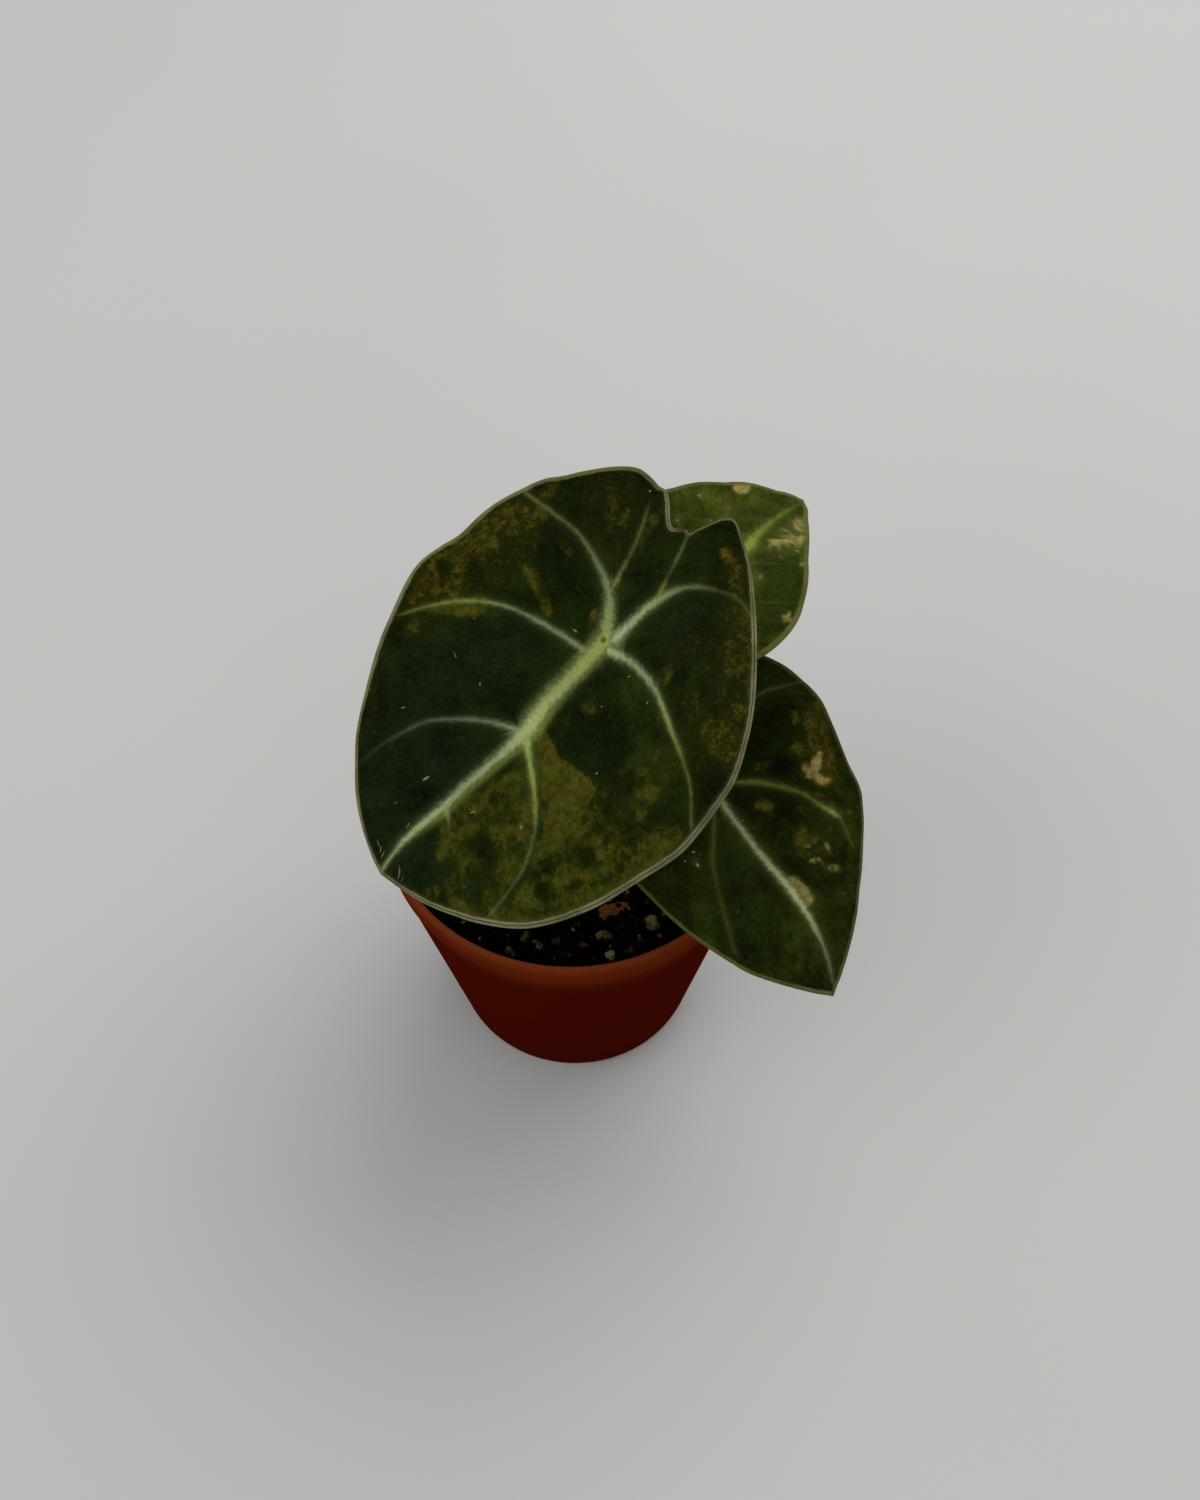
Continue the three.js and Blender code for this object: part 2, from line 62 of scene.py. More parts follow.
# Lengths in the tables are millimetres and angles are degrees. A blade's own frame starts at
# its hub, where the stalk meets it: x runs along the midrib to the tip, y left and z up.
# A vein's rows are x, y, half width, yellowness and strength. A margin's rows are the bearing
# from the hub, the band's width, its strength and its greenness. A blob's row is x, y, its half
# lengths, its turn and its strength. A zone's row is its paint, its strength, how soft its edge
# is and its corners. A row of lint is x, y, its half lengths and its turn.
FRONT = {
    "hub": (4.4, -1.2, 88.0), "heading": -139, "droop": 22, "roll": -8,
    "fold": 0.11, "arch": (0.0035, 0.0020, 0.0015), "wave": (0.5, 5, 0.6),
    "foot_angle": 195, "spokes": 520, "rings": 120, "flank": 1,
    "outline": (
        (40.3, -0.4), (39.5, 3.9), (38.5, 7.5), (36.9, 11.2), (35.5, 13.8), (31.6, 18.7), (24.8, 22.6),
        (18.2, 24.6), (12.4, 26), (9.2, 25.9), (4.6, 25.4), (1.7, 24.8), (-4.8, 21.2), (-10, 16.9),
        (-14.6, 12.3), (-18.4, 7.9), (-20, 5.5), (-21.1, 3.4), (-21.9, 2), (-22.1, 0.9), (-21.2, -0.2),
        (-19.8, -0.9), (-18.2, -1.7), (-17.2, -2.1), (-17.3, -2.8), (-16.8, -3.4), (-16.3, -4.2),
        (-16.7, -4.9), (-17.6, -5.9), (-18.5, -6.9), (-19.2, -8.1), (-19, -9.2), (-19.1, -10.2),
        (-18.9, -12.4), (-17.4, -14.4), (-13.8, -17.4), (-11.8, -18.9), (-9.8, -20.8), (-7, -22.3),
        (-3.2, -23.4), (-0.7, -23.7), (2.9, -23.7), (5.4, -24.3), (9, -24.8), (13.7, -23.7),
        (18.4, -21.9), (25, -18.5), (31.2, -14.5), (36.2, -8.9), (39.5, -2.8), (40.3, -0.4),
    ),
    "veins": (
        ((0, 0.3, 1.5, 0.9, 0.75), (6, 0.4, 1.25, 0.6, 0.7), (10.8, 0.45, 1.2, 0.5, 0.82),
         (14.6, 1.05, 1.3, 0.45, 0.96), (18, 0.9, 0.78, 0.1, 0.74), (21, 0.6, 0.66, 0, 0.72),
         (24.4, 0.2, 0.62, 0, 0.7), (29, -0.15, 0.62, 0.05, 0.82), (33.6, -0.85, 0.46, 0, 0.8),
         (37, -0.9, 0.34, 0.2, 0.62), (39.9, -0.5, 0.25, 0.4, 0.5)),
        ((2.6, 0.3, 0.5, 0.6, 0.6), (2.7, -1.6, 0.42, 0.3, 0.44), (3.7, -7.1, 0.38, 0.1, 0.4),
         (5.4, -12.35, 0.3, 0.3, 0.36), (8.4, -16.7, 0.32, 0.9, 0.36), (12.5, -20.05, 0.26, 1, 0.26),
         (15.4, -21.8, 0.2, 1, 0.12)),
        ((-0.3, 0.2, 1.1, 0.7, 0.72), (-4.8, -3.8, 0.65, 0.2, 0.46), (-6.4, -7.3, 0.45, 0.2, 0.32),
         (-7.6, -12, 0.3, 0.4, 0.2), (-7.4, -16.2, 0.3, 0.7, 0.18), (-6.9, -21.4, 0.25, 1, 0.2)),
        ((-4.3, -3.5, 0.4, 0.6, 0.5), (-7, -4.35, 0.32, 0.8, 0.28), (-10.5, -5.5, 0.26, 0.8, 0.12),
         (-13.8, -6.9, 0.25, 1, 0.18), (-16.4, -8.3, 0.2, 1, 0.06)),
        ((0.5, 0.5, 0.7, 0.3, 1), (-1, 1, 0.74, 0.1, 0.95), (-3.1, 1.1, 0.6, 0, 0.84),
         (-8.1, 1.4, 0.55, 0.3, 0.58),
         (-12.1, 3.2, 0.35, 0.4, 0.26), (-14.4, 7, 0.28, 0.8, 0.07), (-14.9, 10, 0.22, 0.8, 0.12),
         (-14.4, 11.8, 0.18, 0.6, 0.2)),
        ((-8.4, 1.2, 0.35, 0.7, 0.42), (-9.7, 0.7, 0.3, 1, 0.3), (-11.2, 0.2, 0.25, 0.9, 0.1),
         (-13.5, -0.6, 0.25, 0.6, 0.17), (-17, -2, 0.22, 0.3, 0.15)),
        ((0.5, 0.4, 0.6, 0.3, 0.9), (0.4, 1.6, 0.62, 0.1, 0.85), (-0.3, 5, 0.5, 0, 0.6),
         (0.3, 9.9, 0.4, 0.2, 0.52),
         (2.2, 14, 0.32, 0.7, 0.46), (4, 18, 0.24, 1, 0.26), (5.8, 21.1, 0.2, 1, 0.22),
         (9.1, 24.6, 0.2, 0.8, 0.16)),
        ((15.2, 0.4, 0.45, 0, 0.6), (17.1, -3.2, 0.34, 0, 0.33), (19.6, -6.5, 0.3, 0, 0.24),
         (22.8, -9.5, 0.28, 0, 0.15), (26, -10.9, 0.3, 0, 0.09), (29.4, -12, 0.3, 0, 0.04),
         (32, -12.4, 0.25, 0, 0.02)),
        ((14.6, 0.8, 0.7, 0.5, 0.9), (16.8, 3.6, 0.52, 0.7, 0.62), (18.4, 6, 0.44, 1, 0.58),
         (19.8, 7.8, 0.36, 0.9, 0.42), (22.7, 10.7, 0.26, 0.6, 0.2), (26.9, 13, 0.24, 0.6, 0.14),
         (30, 13.6, 0.2, 0.8, 0.12), (33.4, 13.9, 0.25, 0.4, 0.14)),
        ((28.5, 0.3, 0.35, 0.2, 0.5), (29.6, 1.8, 0.2, 0.4, 0.15)),
    ),
    "vein_cast": (1, 1, 1),
    "margin": (
        (0, 0.5, 0.9, 0), (10, 0.6, 1, 0), (20, 0.78, 1, 0), (60, 0.8, 1, 0), (80, 0.78, 0.75, 0.1),
        (92, 0.66, 0.85, 0), (102, 0.6, 0.85, 0), (118, 0.7, 0.9, 0), (140, 0.66, 1, 0),
        (155, 0.5, 0.95, 0.1), (166, 0.4, 0.6, 0.6), (175, 0.32, 0.6, 0.4), (186, 0.34, 0.8, 0),
        (193, 0.6, 0.8, 0), (202, 0.5, 1, 0), (205, 0.5, 0.8, 1), (238, 0.5, 1, 1), (250, 0.8, 1, 0.3),
        (262, 0.7, 1, 0.5), (272, 0.6, 1, 1), (288, 0.55, 1, 0.7), (296, 0.75, 1, 0.4),
        (318, 0.7, 1, 0.4), (330, 0.5, 0.9, 0.6), (345, 0.6, 1, 0.4), (353, 0.4, 0.7, 0.3),
        (360, 0.5, 0.9, 0),
    ),
    "scorch": ((-16.7, -3.5, 1, 0.35, 100, 0.8), (-17.3, -2.4, 0.5, 0.25, 20, 0.7)),
    "olive": (
        (10.2, 17.8, 2, 1.6, 0), (9.8, -16.6, 4.8, 1.1, 128, 0.9), (15, -19.2, 2.3, 1.5, 0, 0.55),
        (-1.9, 9.2, 1.7, 1, 20, 0.6), (-2.2, 14, 1.8, 1.4, 20, 0.4), (1.3, 7.6, 1, 0.9, 0, 0.45),
        (7.3, 5, 1.3, 1, 80, 0.62), (-1.4, -3, 1, 0.6, 30, 0.8), (25.6, -16.8, 5.2, 1.1, 46, 0.36),
        (26, -7, 1.6, 1, 0, 0.28), (32, -10, 2.2, 1, 45, 0.28), (37, 6.8, 1.2, 1.6, 80, 0.5),
        (9, 17, 8, 4, 20, 0.26), (4, 8, 9, 5, 40, 0.2), (20, 12, 15, 10, 150, 0.28),
        (7, -14.8, 1.8, 1, 60, 0.62), (-6, -2.8, 2.4, 1.3, 20, 0.3),
    ),
    "ochre": (
        (12.6, 23.5, 2.2, 1.5, 163, 0.8), (0.5, -12.4, 2.6, 1, 76, 0.72),
        (1.3, -10.2, 1.4, 0.7, 70, 0.55), (1.9, -8.3, 1.5, 0.8, 65, 0.8),
        (-1.2, -2.9, 0.9, 0.6, 30, 0.75), (-2.5, 9.3, 0.9, 0.6, 20, 0.6), (-0.6, 8.2, 0.7, 0.5, 70, 0.5),
        (-3.5, -16.2, 2, 1.2, 40, 0.4), (-5.2, -11.6, 1.8, 0.8, 75, 0.4), (-18, 4, 1.6, 0.9, 60, 0.72),
        (-16.3, 6.8, 1.7, 1, 50, 0.6), (-10.4, 12.1, 1.4, 1, 0, 0.62), (-1, 17, 9, 5, 20, 0.32),
        (-6, 13, 12, 6, 45, 0.34), (18, 14, 9, 5, 140, 0.26), (-12, -10, 8, 6, 45, 0.3),
        (3, -19, 12, 6, 0, 0.36), (26, -15, 9, 4, 60, 0.2), (31.6, 16.4, 3, 1, 128, 0.5),
        (-15.4, -6.4, 1.4, 0.8, 30, 0.6), (-10.6, -19.6, 3, 1, 35, 0.5), (9.4, -19.6, 3.4, 2, 140, 0.6),
        (8.8, -22.9, 2.6, 1.5, 0, 0.62), (2.2, -21.9, 2.8, 1.3, 0, 0.56), (0, -11, 5, 4, 70, 0.16),
        (-2.8, -19.8, 2.6, 2.2, 60, 0.54), (-9.2, -19.2, 2.1, 1, 20, 0.66), (2.4, -16.2, 2, 1, 60, 0.4),
        (-13.4, -11.7, 1.5, 1, 50, 0.62), (-13, -9.2, 1.5, 0.8, 10, 0.62), (2, 12.8, 2, 1.2, 60, 0.4),
        (13, 22, 6, 3, 120, 0.4), (-8.4, 15.3, 1.4, 1.6, 40, 0.6), (6, 16.5, 3, 3, 0, 0.4),
    ),
    "gaps": (
        (23.4, 4.2, 1, 0.8, 0, 0.6), (19.4, 2.1, 2.6, 0.8, 5, 0.75), (33, 6.3, 1.6, 0.9, 60, 0.55),
        (34.6, 5.8, 1.4, 1.7, 80, 0.6), (33, 10.4, 2.2, 1.3, 40, 0.6), (25.3, 15.2, 1.6, 1, 0, 0.5),
        (27.2, 17, 1, 1.2, 0, 0.75), (20.6, 17.6, 1.3, 1, 80, 0.6), (17.6, 16.4, 1.1, 0.8, 0, 0.5),
        (22.4, 10.9, 2, 0.5, 40, 0.6), (30.8, 10.8, 0.9, 0.7, 0, 0.4), (36.6, 1.8, 2.4, 1.7, 0, 1),
        (23.6, 19.2, 0.9, 0.6, 0, 0.5), (28.6, 13.6, 3, 0.5, 10, 0.5), (5, -17.8, 2.2, 1.2, 65, 0.6),
        (28.8, 8.8, 2.2, 1.6, 70, 0.6), (26.4, 4.2, 1, 0.8, 0, 0.4), (-3.6, 16.2, 2.6, 1.6, 60, 0.55),
        (7.3, -21.5, 1.3, 0.7, 80, 0.6), (-0.6, -18.4, 1.5, 0.7, 80, 0.6),
        (-6.4, -20.6, 1.3, 0.6, 80, 0.5), (17.2, -7, 9, 5, 20, 0.8), (-3.6, 11.4, 1.9, 1, 10, 0.95),
        (-11, 8, 3, 3, 0, 0.5), (-6.4, 16.6, 1.8, 1.1, 50, 0.5),
    ),
    "lush": (
        (8, 16, 8, 5, 0, 0.55), (26, 10, 12, 9, 0, 0.5), (-7, 6, 7, 4, 0, 0.3), (-9, -9, 8, 5, 45, 0.36),
        (-6, -2.4, 3, 1.6, 0, 0.6), (12, 4.4, 3, 1.6, 0, 0.5), (3, 8, 4, 4, 0, 0.55),
        (11, -7, 4, 6, 0, 0.45), (-4, 12, 2.4, 1.2, 0, 0.6), (3, -17, 5, 5, 0, 0.4),
    ),
    "dark": ((35, 0.9, 3.3, 2.9, 0, 0.3), (11, -5, 9, 4, 20, 0.3), (28, -10, 7, 4, 30, 0.3)),
    "cool": (
        (26, -8, 13, 8, 20, 0.9), (37, 1.5, 4, 3, 0, 1), (12, -8, 8, 6, 20, 0.5), (-7, 7, 5, 3, 40, 0.5),
        (34, 6, 2, 4, 70, 0.6), (33, 10.4, 2, 2, 0, 0.5), (10, 8.4, 4, 2.6, 60, 0.4),
    ),
    "zones": (
        ("olive", 0.64, 0.9, (
            (15.1, 1.4), (13, 2.4), (13.3, 4), (14, 6.4), (13.8, 9), (13.5, 11.6), (13.8, 13),
            (14.3, 14.2), (15.5, 16.3), (15.1, 18.7), (16.4, 19.9), (15.7, 21.1), (13.2, 21.2),
            (11.6, 22.9), (11.7, 26.4), (18.6, 25.4), (26, 22.8), (31.6, 19.4), (35.4, 14.6),
            (37, 9.6), (35.3, 6), (33.2, 2.9), (29.8, 0.5), (24.6, 1.1), (20.2, 1.4), (16.2, 1.4),
        )),
        ("olive", 0.95, 0.35, (
            (14.5, 2.6), (13, 2.4), (13.3, 4), (14.1, 6.3), (13.7, 9), (13.5, 11.6), (13.9, 13),
            (15.5, 13.8), (18.6, 14.5), (20.8, 14.7), (22.5, 13.8), (23.3, 12.4), (20.9, 10.5),
            (19.4, 10), (19.4, 8.5), (17.9, 6.5), (16.7, 4.7),
        )),
        ("olive", 0.6, 0.6, (
            (8.6, 14.4), (7.1, 16), (7.9, 17.5), (9.8, 18.9), (11.6, 20), (13.4, 19.8), (13, 18.5),
            (11.7, 16.9),
        )),
        ("ochre", 0.58, 1.2, (
            (14.1, -22.2), (12.1, -23.5), (9.4, -24), (7.9, -24.8), (4.8, -23.6), (2.3, -23.9),
            (-0.9, -23.9), (-3.9, -23), (-6.9, -21), (-7.8, -19.1), (-7, -16.6), (-4.7, -15.8),
            (-2, -17.6), (0.1, -17.6), (2.2, -18.2), (5, -17.1), (7.1, -17.1), (9.1, -19.1),
            (11.3, -20.8), (13.5, -20.8),
        )),
        ("ochre", 0.54, 1.6, (
            (-18, 3), (-19.2, 5.4), (-17.9, 8.3), (-14.9, 12), (-10.2, 17), (-5.4, 20.6),
            (-1.6, 23), (1.8, 23.6), (1.5, 19.8), (0.6, 15.3), (-0.5, 13.7), (-3.3, 14),
            (-7, 13.5), (-9.9, 11), (-9.5, 8.3), (-13, 7.5), (-14.6, 6.9), (-15.9, 4.8),
        )),
        ("ochre", 0.42, 0.8, (
            (-14.3, -14.7), (-16.2, -13.3), (-13, -10.1), (-10.3, -8.4), (-10.9, -11.2),
        )),
        ("ochre", 0.46, 0.8, (
            (-12.4, -6.8), (-15.9, -7.1), (-18.6, -8.2), (-16.9, -6), (-13.4, -5.1), (-10.7, -4.5),
        )),
        ("dark", 0.4, 0.9, (
            (12.4, 5), (10, 6.6), (7.2, 10.5), (8.9, 13.4), (11.4, 14.7), (12.7, 12.5),
            (13.3, 11.1), (13.4, 9.2), (13.8, 6.3),
        )),
    ),
    "lint": (
        (14.6, -7.4, 0.22, 0.1, 40), (23.5, -12.9, 0.3, 0.1, -45), (27.7, -4.2, 0.52, 0.16, -17),
        (26.5, 3.4, 0.45, 0.08, -27), (23.6, 9.3, 0.28, 0.12, 20), (12.5, 11.7, 0.15, 0.1, 0),
        (-17.7, -9.4, 0.15, 0.12, 0), (1.6, -3.4, 0.12, 0.35, 10), (6.2, 6.2, 0.13, 0.08, 30),
        (1.2, 5.9, 0.16, 0.09, -20), (2, 10, 0.2, 0.08, 30), (32.6, -5, 0.2, 0.06, -30),
        (9.2, -14, 0.12, 0.07, 80), (17.5, 15.2, 0.12, 0.05, 140), (14.2, -12.4, 0.5, 0.04, 70),
        (38.7, 1.8, 1, 0.045, 37), (38.2, 1.3, 0.7, 0.04, 44), (38.9, 2.6, 0.6, 0.045, 28),
        (39.1, 3.3, 0.4, 0.05, 158), (38.8, 4.6, 0.45, 0.05, 165), (38.5, 5.5, 0.4, 0.04, 150),
        (37.9, 7.3, 0.5, 0.045, 160), (37.5, 8.3, 0.4, 0.04, 150), (38.3, -1.8, 0.5, 0.06, 20),
        (38, -2.5, 0.5, 0.05, 42), (37.7, -3.3, 0.6, 0.04, 62), (33.5, -1.9, 0.5, 0.04, 20),
    ),
}
RIGHT = {
    "hub": (18.6, -10.0, 69.0), "heading": -54, "droop": 28, "roll": 5,
    "fold": 0.16, "arch": (0.0040, 0.0035, 0.0030), "wave": (0.4, 4, 2.1),
    "foot_angle": -45, "spokes": 380, "rings": 100, "flank": 0,
    "outline": (
        (32.5, 0), (30.4, 2.7), (25.4, 7.6), (22, 10.2), (19.1, 12.5), (15.9, 14.6), (14, 15.6),
        (11, 16.8), (7.1, 17), (1.7, 17.8), (-2, 18.3), (-5.7, 17.7), (-9.1, 16.2), (-12.6, 13.2),
        (-15.2, 8.6), (-13.7, 4), (-9.6, 0.6), (-12.3, -3.6), (-13.4, -8), (-10.8, -12.4), (-5.2, -15.7),
        (1, -16.7), (8.3, -15.3), (15.3, -13.1), (21.1, -10.2), (23.3, -9), (25.9, -6.9), (30.3, -2.6),
        (32.5, 0),
    ),
    "veins": (
        ((0, 0, 0.5, 0.3, 0.55), (4, -0.2, 0.48, 0.2, 0.58), (8.5, 0.3, 0.46, 0.1, 0.58),
         (12.5, 0.9, 0.46, 0.1, 0.64), (17, 1.8, 0.52, 0.1, 0.9), (20.5, 2.15, 0.48, 0.1, 0.84),
         (24, 2.2, 0.36, 0.1, 0.5), (28, 1.7, 0.3, 0.1, 0.26), (31, 0.8, 0.25, 0.4, 0.12)),
        ((1.5, -0.6, 0.4, 0.8, 0.12), (5.3, -3.1, 0.4, 1, 0.1), (9, -5.6, 0.4, 1, 0.08),
         (15.3, -7.7, 0.4, 1, 0.06), (20, -9, 0.4, 1, 0.07)),
        ((1.3, 2.2, 0.35, 0.8, 0.18), (3.1, 5.2, 0.42, 1, 0.2), (7.1, 9.4, 0.4, 1, 0.18),
         (10, 11, 0.34, 1, 0.24), (11.8, 12, 0.38, 0.7, 0.48), (13.2, 12.5, 0.28, 0.8, 0.16),
         (16.6, 12.2, 0.25, 1, 0.1)),
        ((0, 0, 0.4, 0.5, 0.2), (-3.5, 6, 0.3, 0.5, 0.15), (-6.6, 11, 0.25, 0.5, 0.12),
         (-5.2, 17.4, 0.15, 0.5, 0.05)),
        ((0, 0, 0.4, 0.4, 0.3), (-2.5, -5, 0.3, 0.4, 0.2), (-2.6, -10.5, 0.25, 0.4, 0.14),
         (1.5, -15.6, 0.15, 0.4, 0.05)),
        ((0, 0, 0.45, 0.4, 0.3), (-5, 2.6, 0.35, 0.4, 0.25), (-10.2, 4.4, 0.25, 0.4, 0.15),
         (-13, 7.8, 0.15, 0.4, 0.06)),
        ((0, 0, 0.45, 0.4, 0.3), (-4.6, -2.4, 0.35, 0.4, 0.25), (-9, -5, 0.25, 0.4, 0.15),
         (-11.2, -8.6, 0.15, 0.4, 0.06)),
    ),
    "vein_cast": (1.1, 0.96, 0.94),
    "margin": (
        (0, 0.6, 0.4, 0.6), (50, 0.5, 0.3, 0.4), (90, 0.45, 0.3, 1), (180, 0.45, 0.3, 1),
        (270, 0.3, 0.45, 1), (300, 0.3, 0.6, 1), (345, 0.35, 0.7, 1), (360, 0.6, 0.6, 0.6),
    ),
    "olive": (
        (6, 4.2, 1.9, 1, 59, 0.5), (12.1, 7, 1.9, 1.6, 58, 0.6), (10.6, 12.1, 3, 0.8, 26, 0.6),
        (10, 9.8, 5, 2, 40, 0.34), (15, 7, 7, 3.4, 30, 0.34), (4, 13, 7, 3, 170, 0.3),
        (16, -5, 9, 4, 150, 0.14), (21.2, 7, 1.3, 0.8, 30, 0.5), (12.4, -1.8, 3, 0.8, 130, 0.3),
    ),
    "ochre": (
        (2, 11.8, 1.2, 1, 61, 0.75), (6.3, 4.5, 1.1, 0.8, 60, 0.85), (0.6, 15.4, 1.5, 1.1, 120, 0.7),
        (-1.4, 14, 1.2, 0.9, 0, 0.6), (1.5, 6.6, 1.6, 0.8, 70, 0.5), (12.4, 6.2, 1.6, 0.9, 0, 0.8),
        (14, 9.4, 5, 2.4, 40, 0.34), (4, 13, 5, 3, 170, 0.4), (15.4, 8.7, 1, 0.8, 0, 0.6),
        (13.2, 7.8, 1, 0.7, 50, 0.75), (11.2, 7.4, 1, 0.8, 0, 0.55), (7.4, 10.2, 1.3, 0.7, 30, 0.45),
    ),
    "cream": (
        (13.5, 6.5, 0.8, 0.5, 60, 0.55), (15.8, 6.6, 0.9, 0.5, 70, 0.5), (18, 8.3, 1.1, 0.6, 50, 0.7),
        (15.1, 8.9, 0.8, 0.4, 0, 0.65), (7.6, -7.6, 1, 0.7, 0, 0.4), (20.3, 9.6, 5.2, 0.8, 150, 0.24),
        (1.7, 12, 0.7, 0.4, 90, 0.3), (6.4, 4.5, 0.8, 0.5, 60, 0.45), (2.6, 13.8, 0.7, 0.4, 120, 0.5),
        (-0.8, 15.4, 0.7, 0.4, 0, 0.45), (12.8, 13.9, 0.8, 0.4, 30, 0.4), (5.4, 11.9, 1.4, 0.9, 10, 0.7),
    ),
    "lush": (
        (20, -6, 8, 4, 150, 0.5), (24, 1, 7, 5, 170, 0.65), (14, 14, 8, 2.4, 160, 0.75),
        (4, 15, 8, 3, 0, 0.35), (10, 3, 8, 4, 20, 0.3), (14, -10, 5, 2.4, 160, 0.5),
    ),
    # Painted shadow: these darker parts are the shade the front blade casts on this blade.
    "dark": (
        (7.5, 6.5, 5, 1.9, 35, 0.9), (2.4, 8.4, 3.6, 1.8, 60, 1), (0, 8, 7, 4, 60, 0.7),
        (4.4, 3.2, 3.4, 1.6, 20, 0.6), (9, 11, 4, 1.2, 40, 0.5), (-2, 12, 3, 3.4, 60, 0.85),
        (9.2, 3.6, 1.2, 0.9, 40, 0.7), (17, 9.6, 1.6, 1, 60, 0.6), (3.4, -3.4, 4, 1.4, 130, 0.5),
    ),
    "cool": ((17, -6, 8, 4, 150, 0.3),),
    "zones": (
        ("cream", 0.88, 0.5, (
            (3.7, 14.2), (4.2, 12.9), (5, 12), (6.3, 11.6), (7.8, 12.1), (8.4, 13.2), (7.9, 13.9),
            (7.1, 13.2), (6.2, 13), (5.6, 13.7), (4.9, 14.3), (4.2, 14.6),
        )),
        ("ochre", 0.64, 0.9, (
            (-1.7, 14.6), (-2.1, 17.9), (1.6, 17.3), (8.2, 15), (9.1, 12.6), (7.2, 11.4), (3.4, 12.6),
        )),
        ("olive", 0.9, 0.35, (
            (15.3, 1.9), (16.1, 3.6), (18.1, 4.4), (20.3, 4.3), (21, 3), (20.4, 2.1), (17.6, 1.7),
        )),
        ("cream", 0.9, 0.5, (
            (15.5, 2.1), (16.3, 3.2), (17.8, 3.9), (20.2, 4), (20.8, 2.8), (20.3, 2.4), (17.8, 2.2),
        )),
        ("olive", 0.42, 0.9, (
            (10, 6.7), (12.7, 9.3), (16.8, 10.4), (19.8, 9.8), (18.6, 7), (15, 5.6), (12.8, 3.9),
        )),
    ),
    "lint": (
        (6.3, -7.2, 0.25, 0.12, 30), (8, -7.6, 0.34, 0.18, 5), (6.7, -8.8, 0.14, 0.1, 0),
        (7, -6.6, 0.1, 0.08, 0), (16, -6, 0.08, 0.06, 0), (21, 4, 0.1, 0.05, 30),
        (6.3, 0.9, 0.12, 0.09, 0),
    ),
}
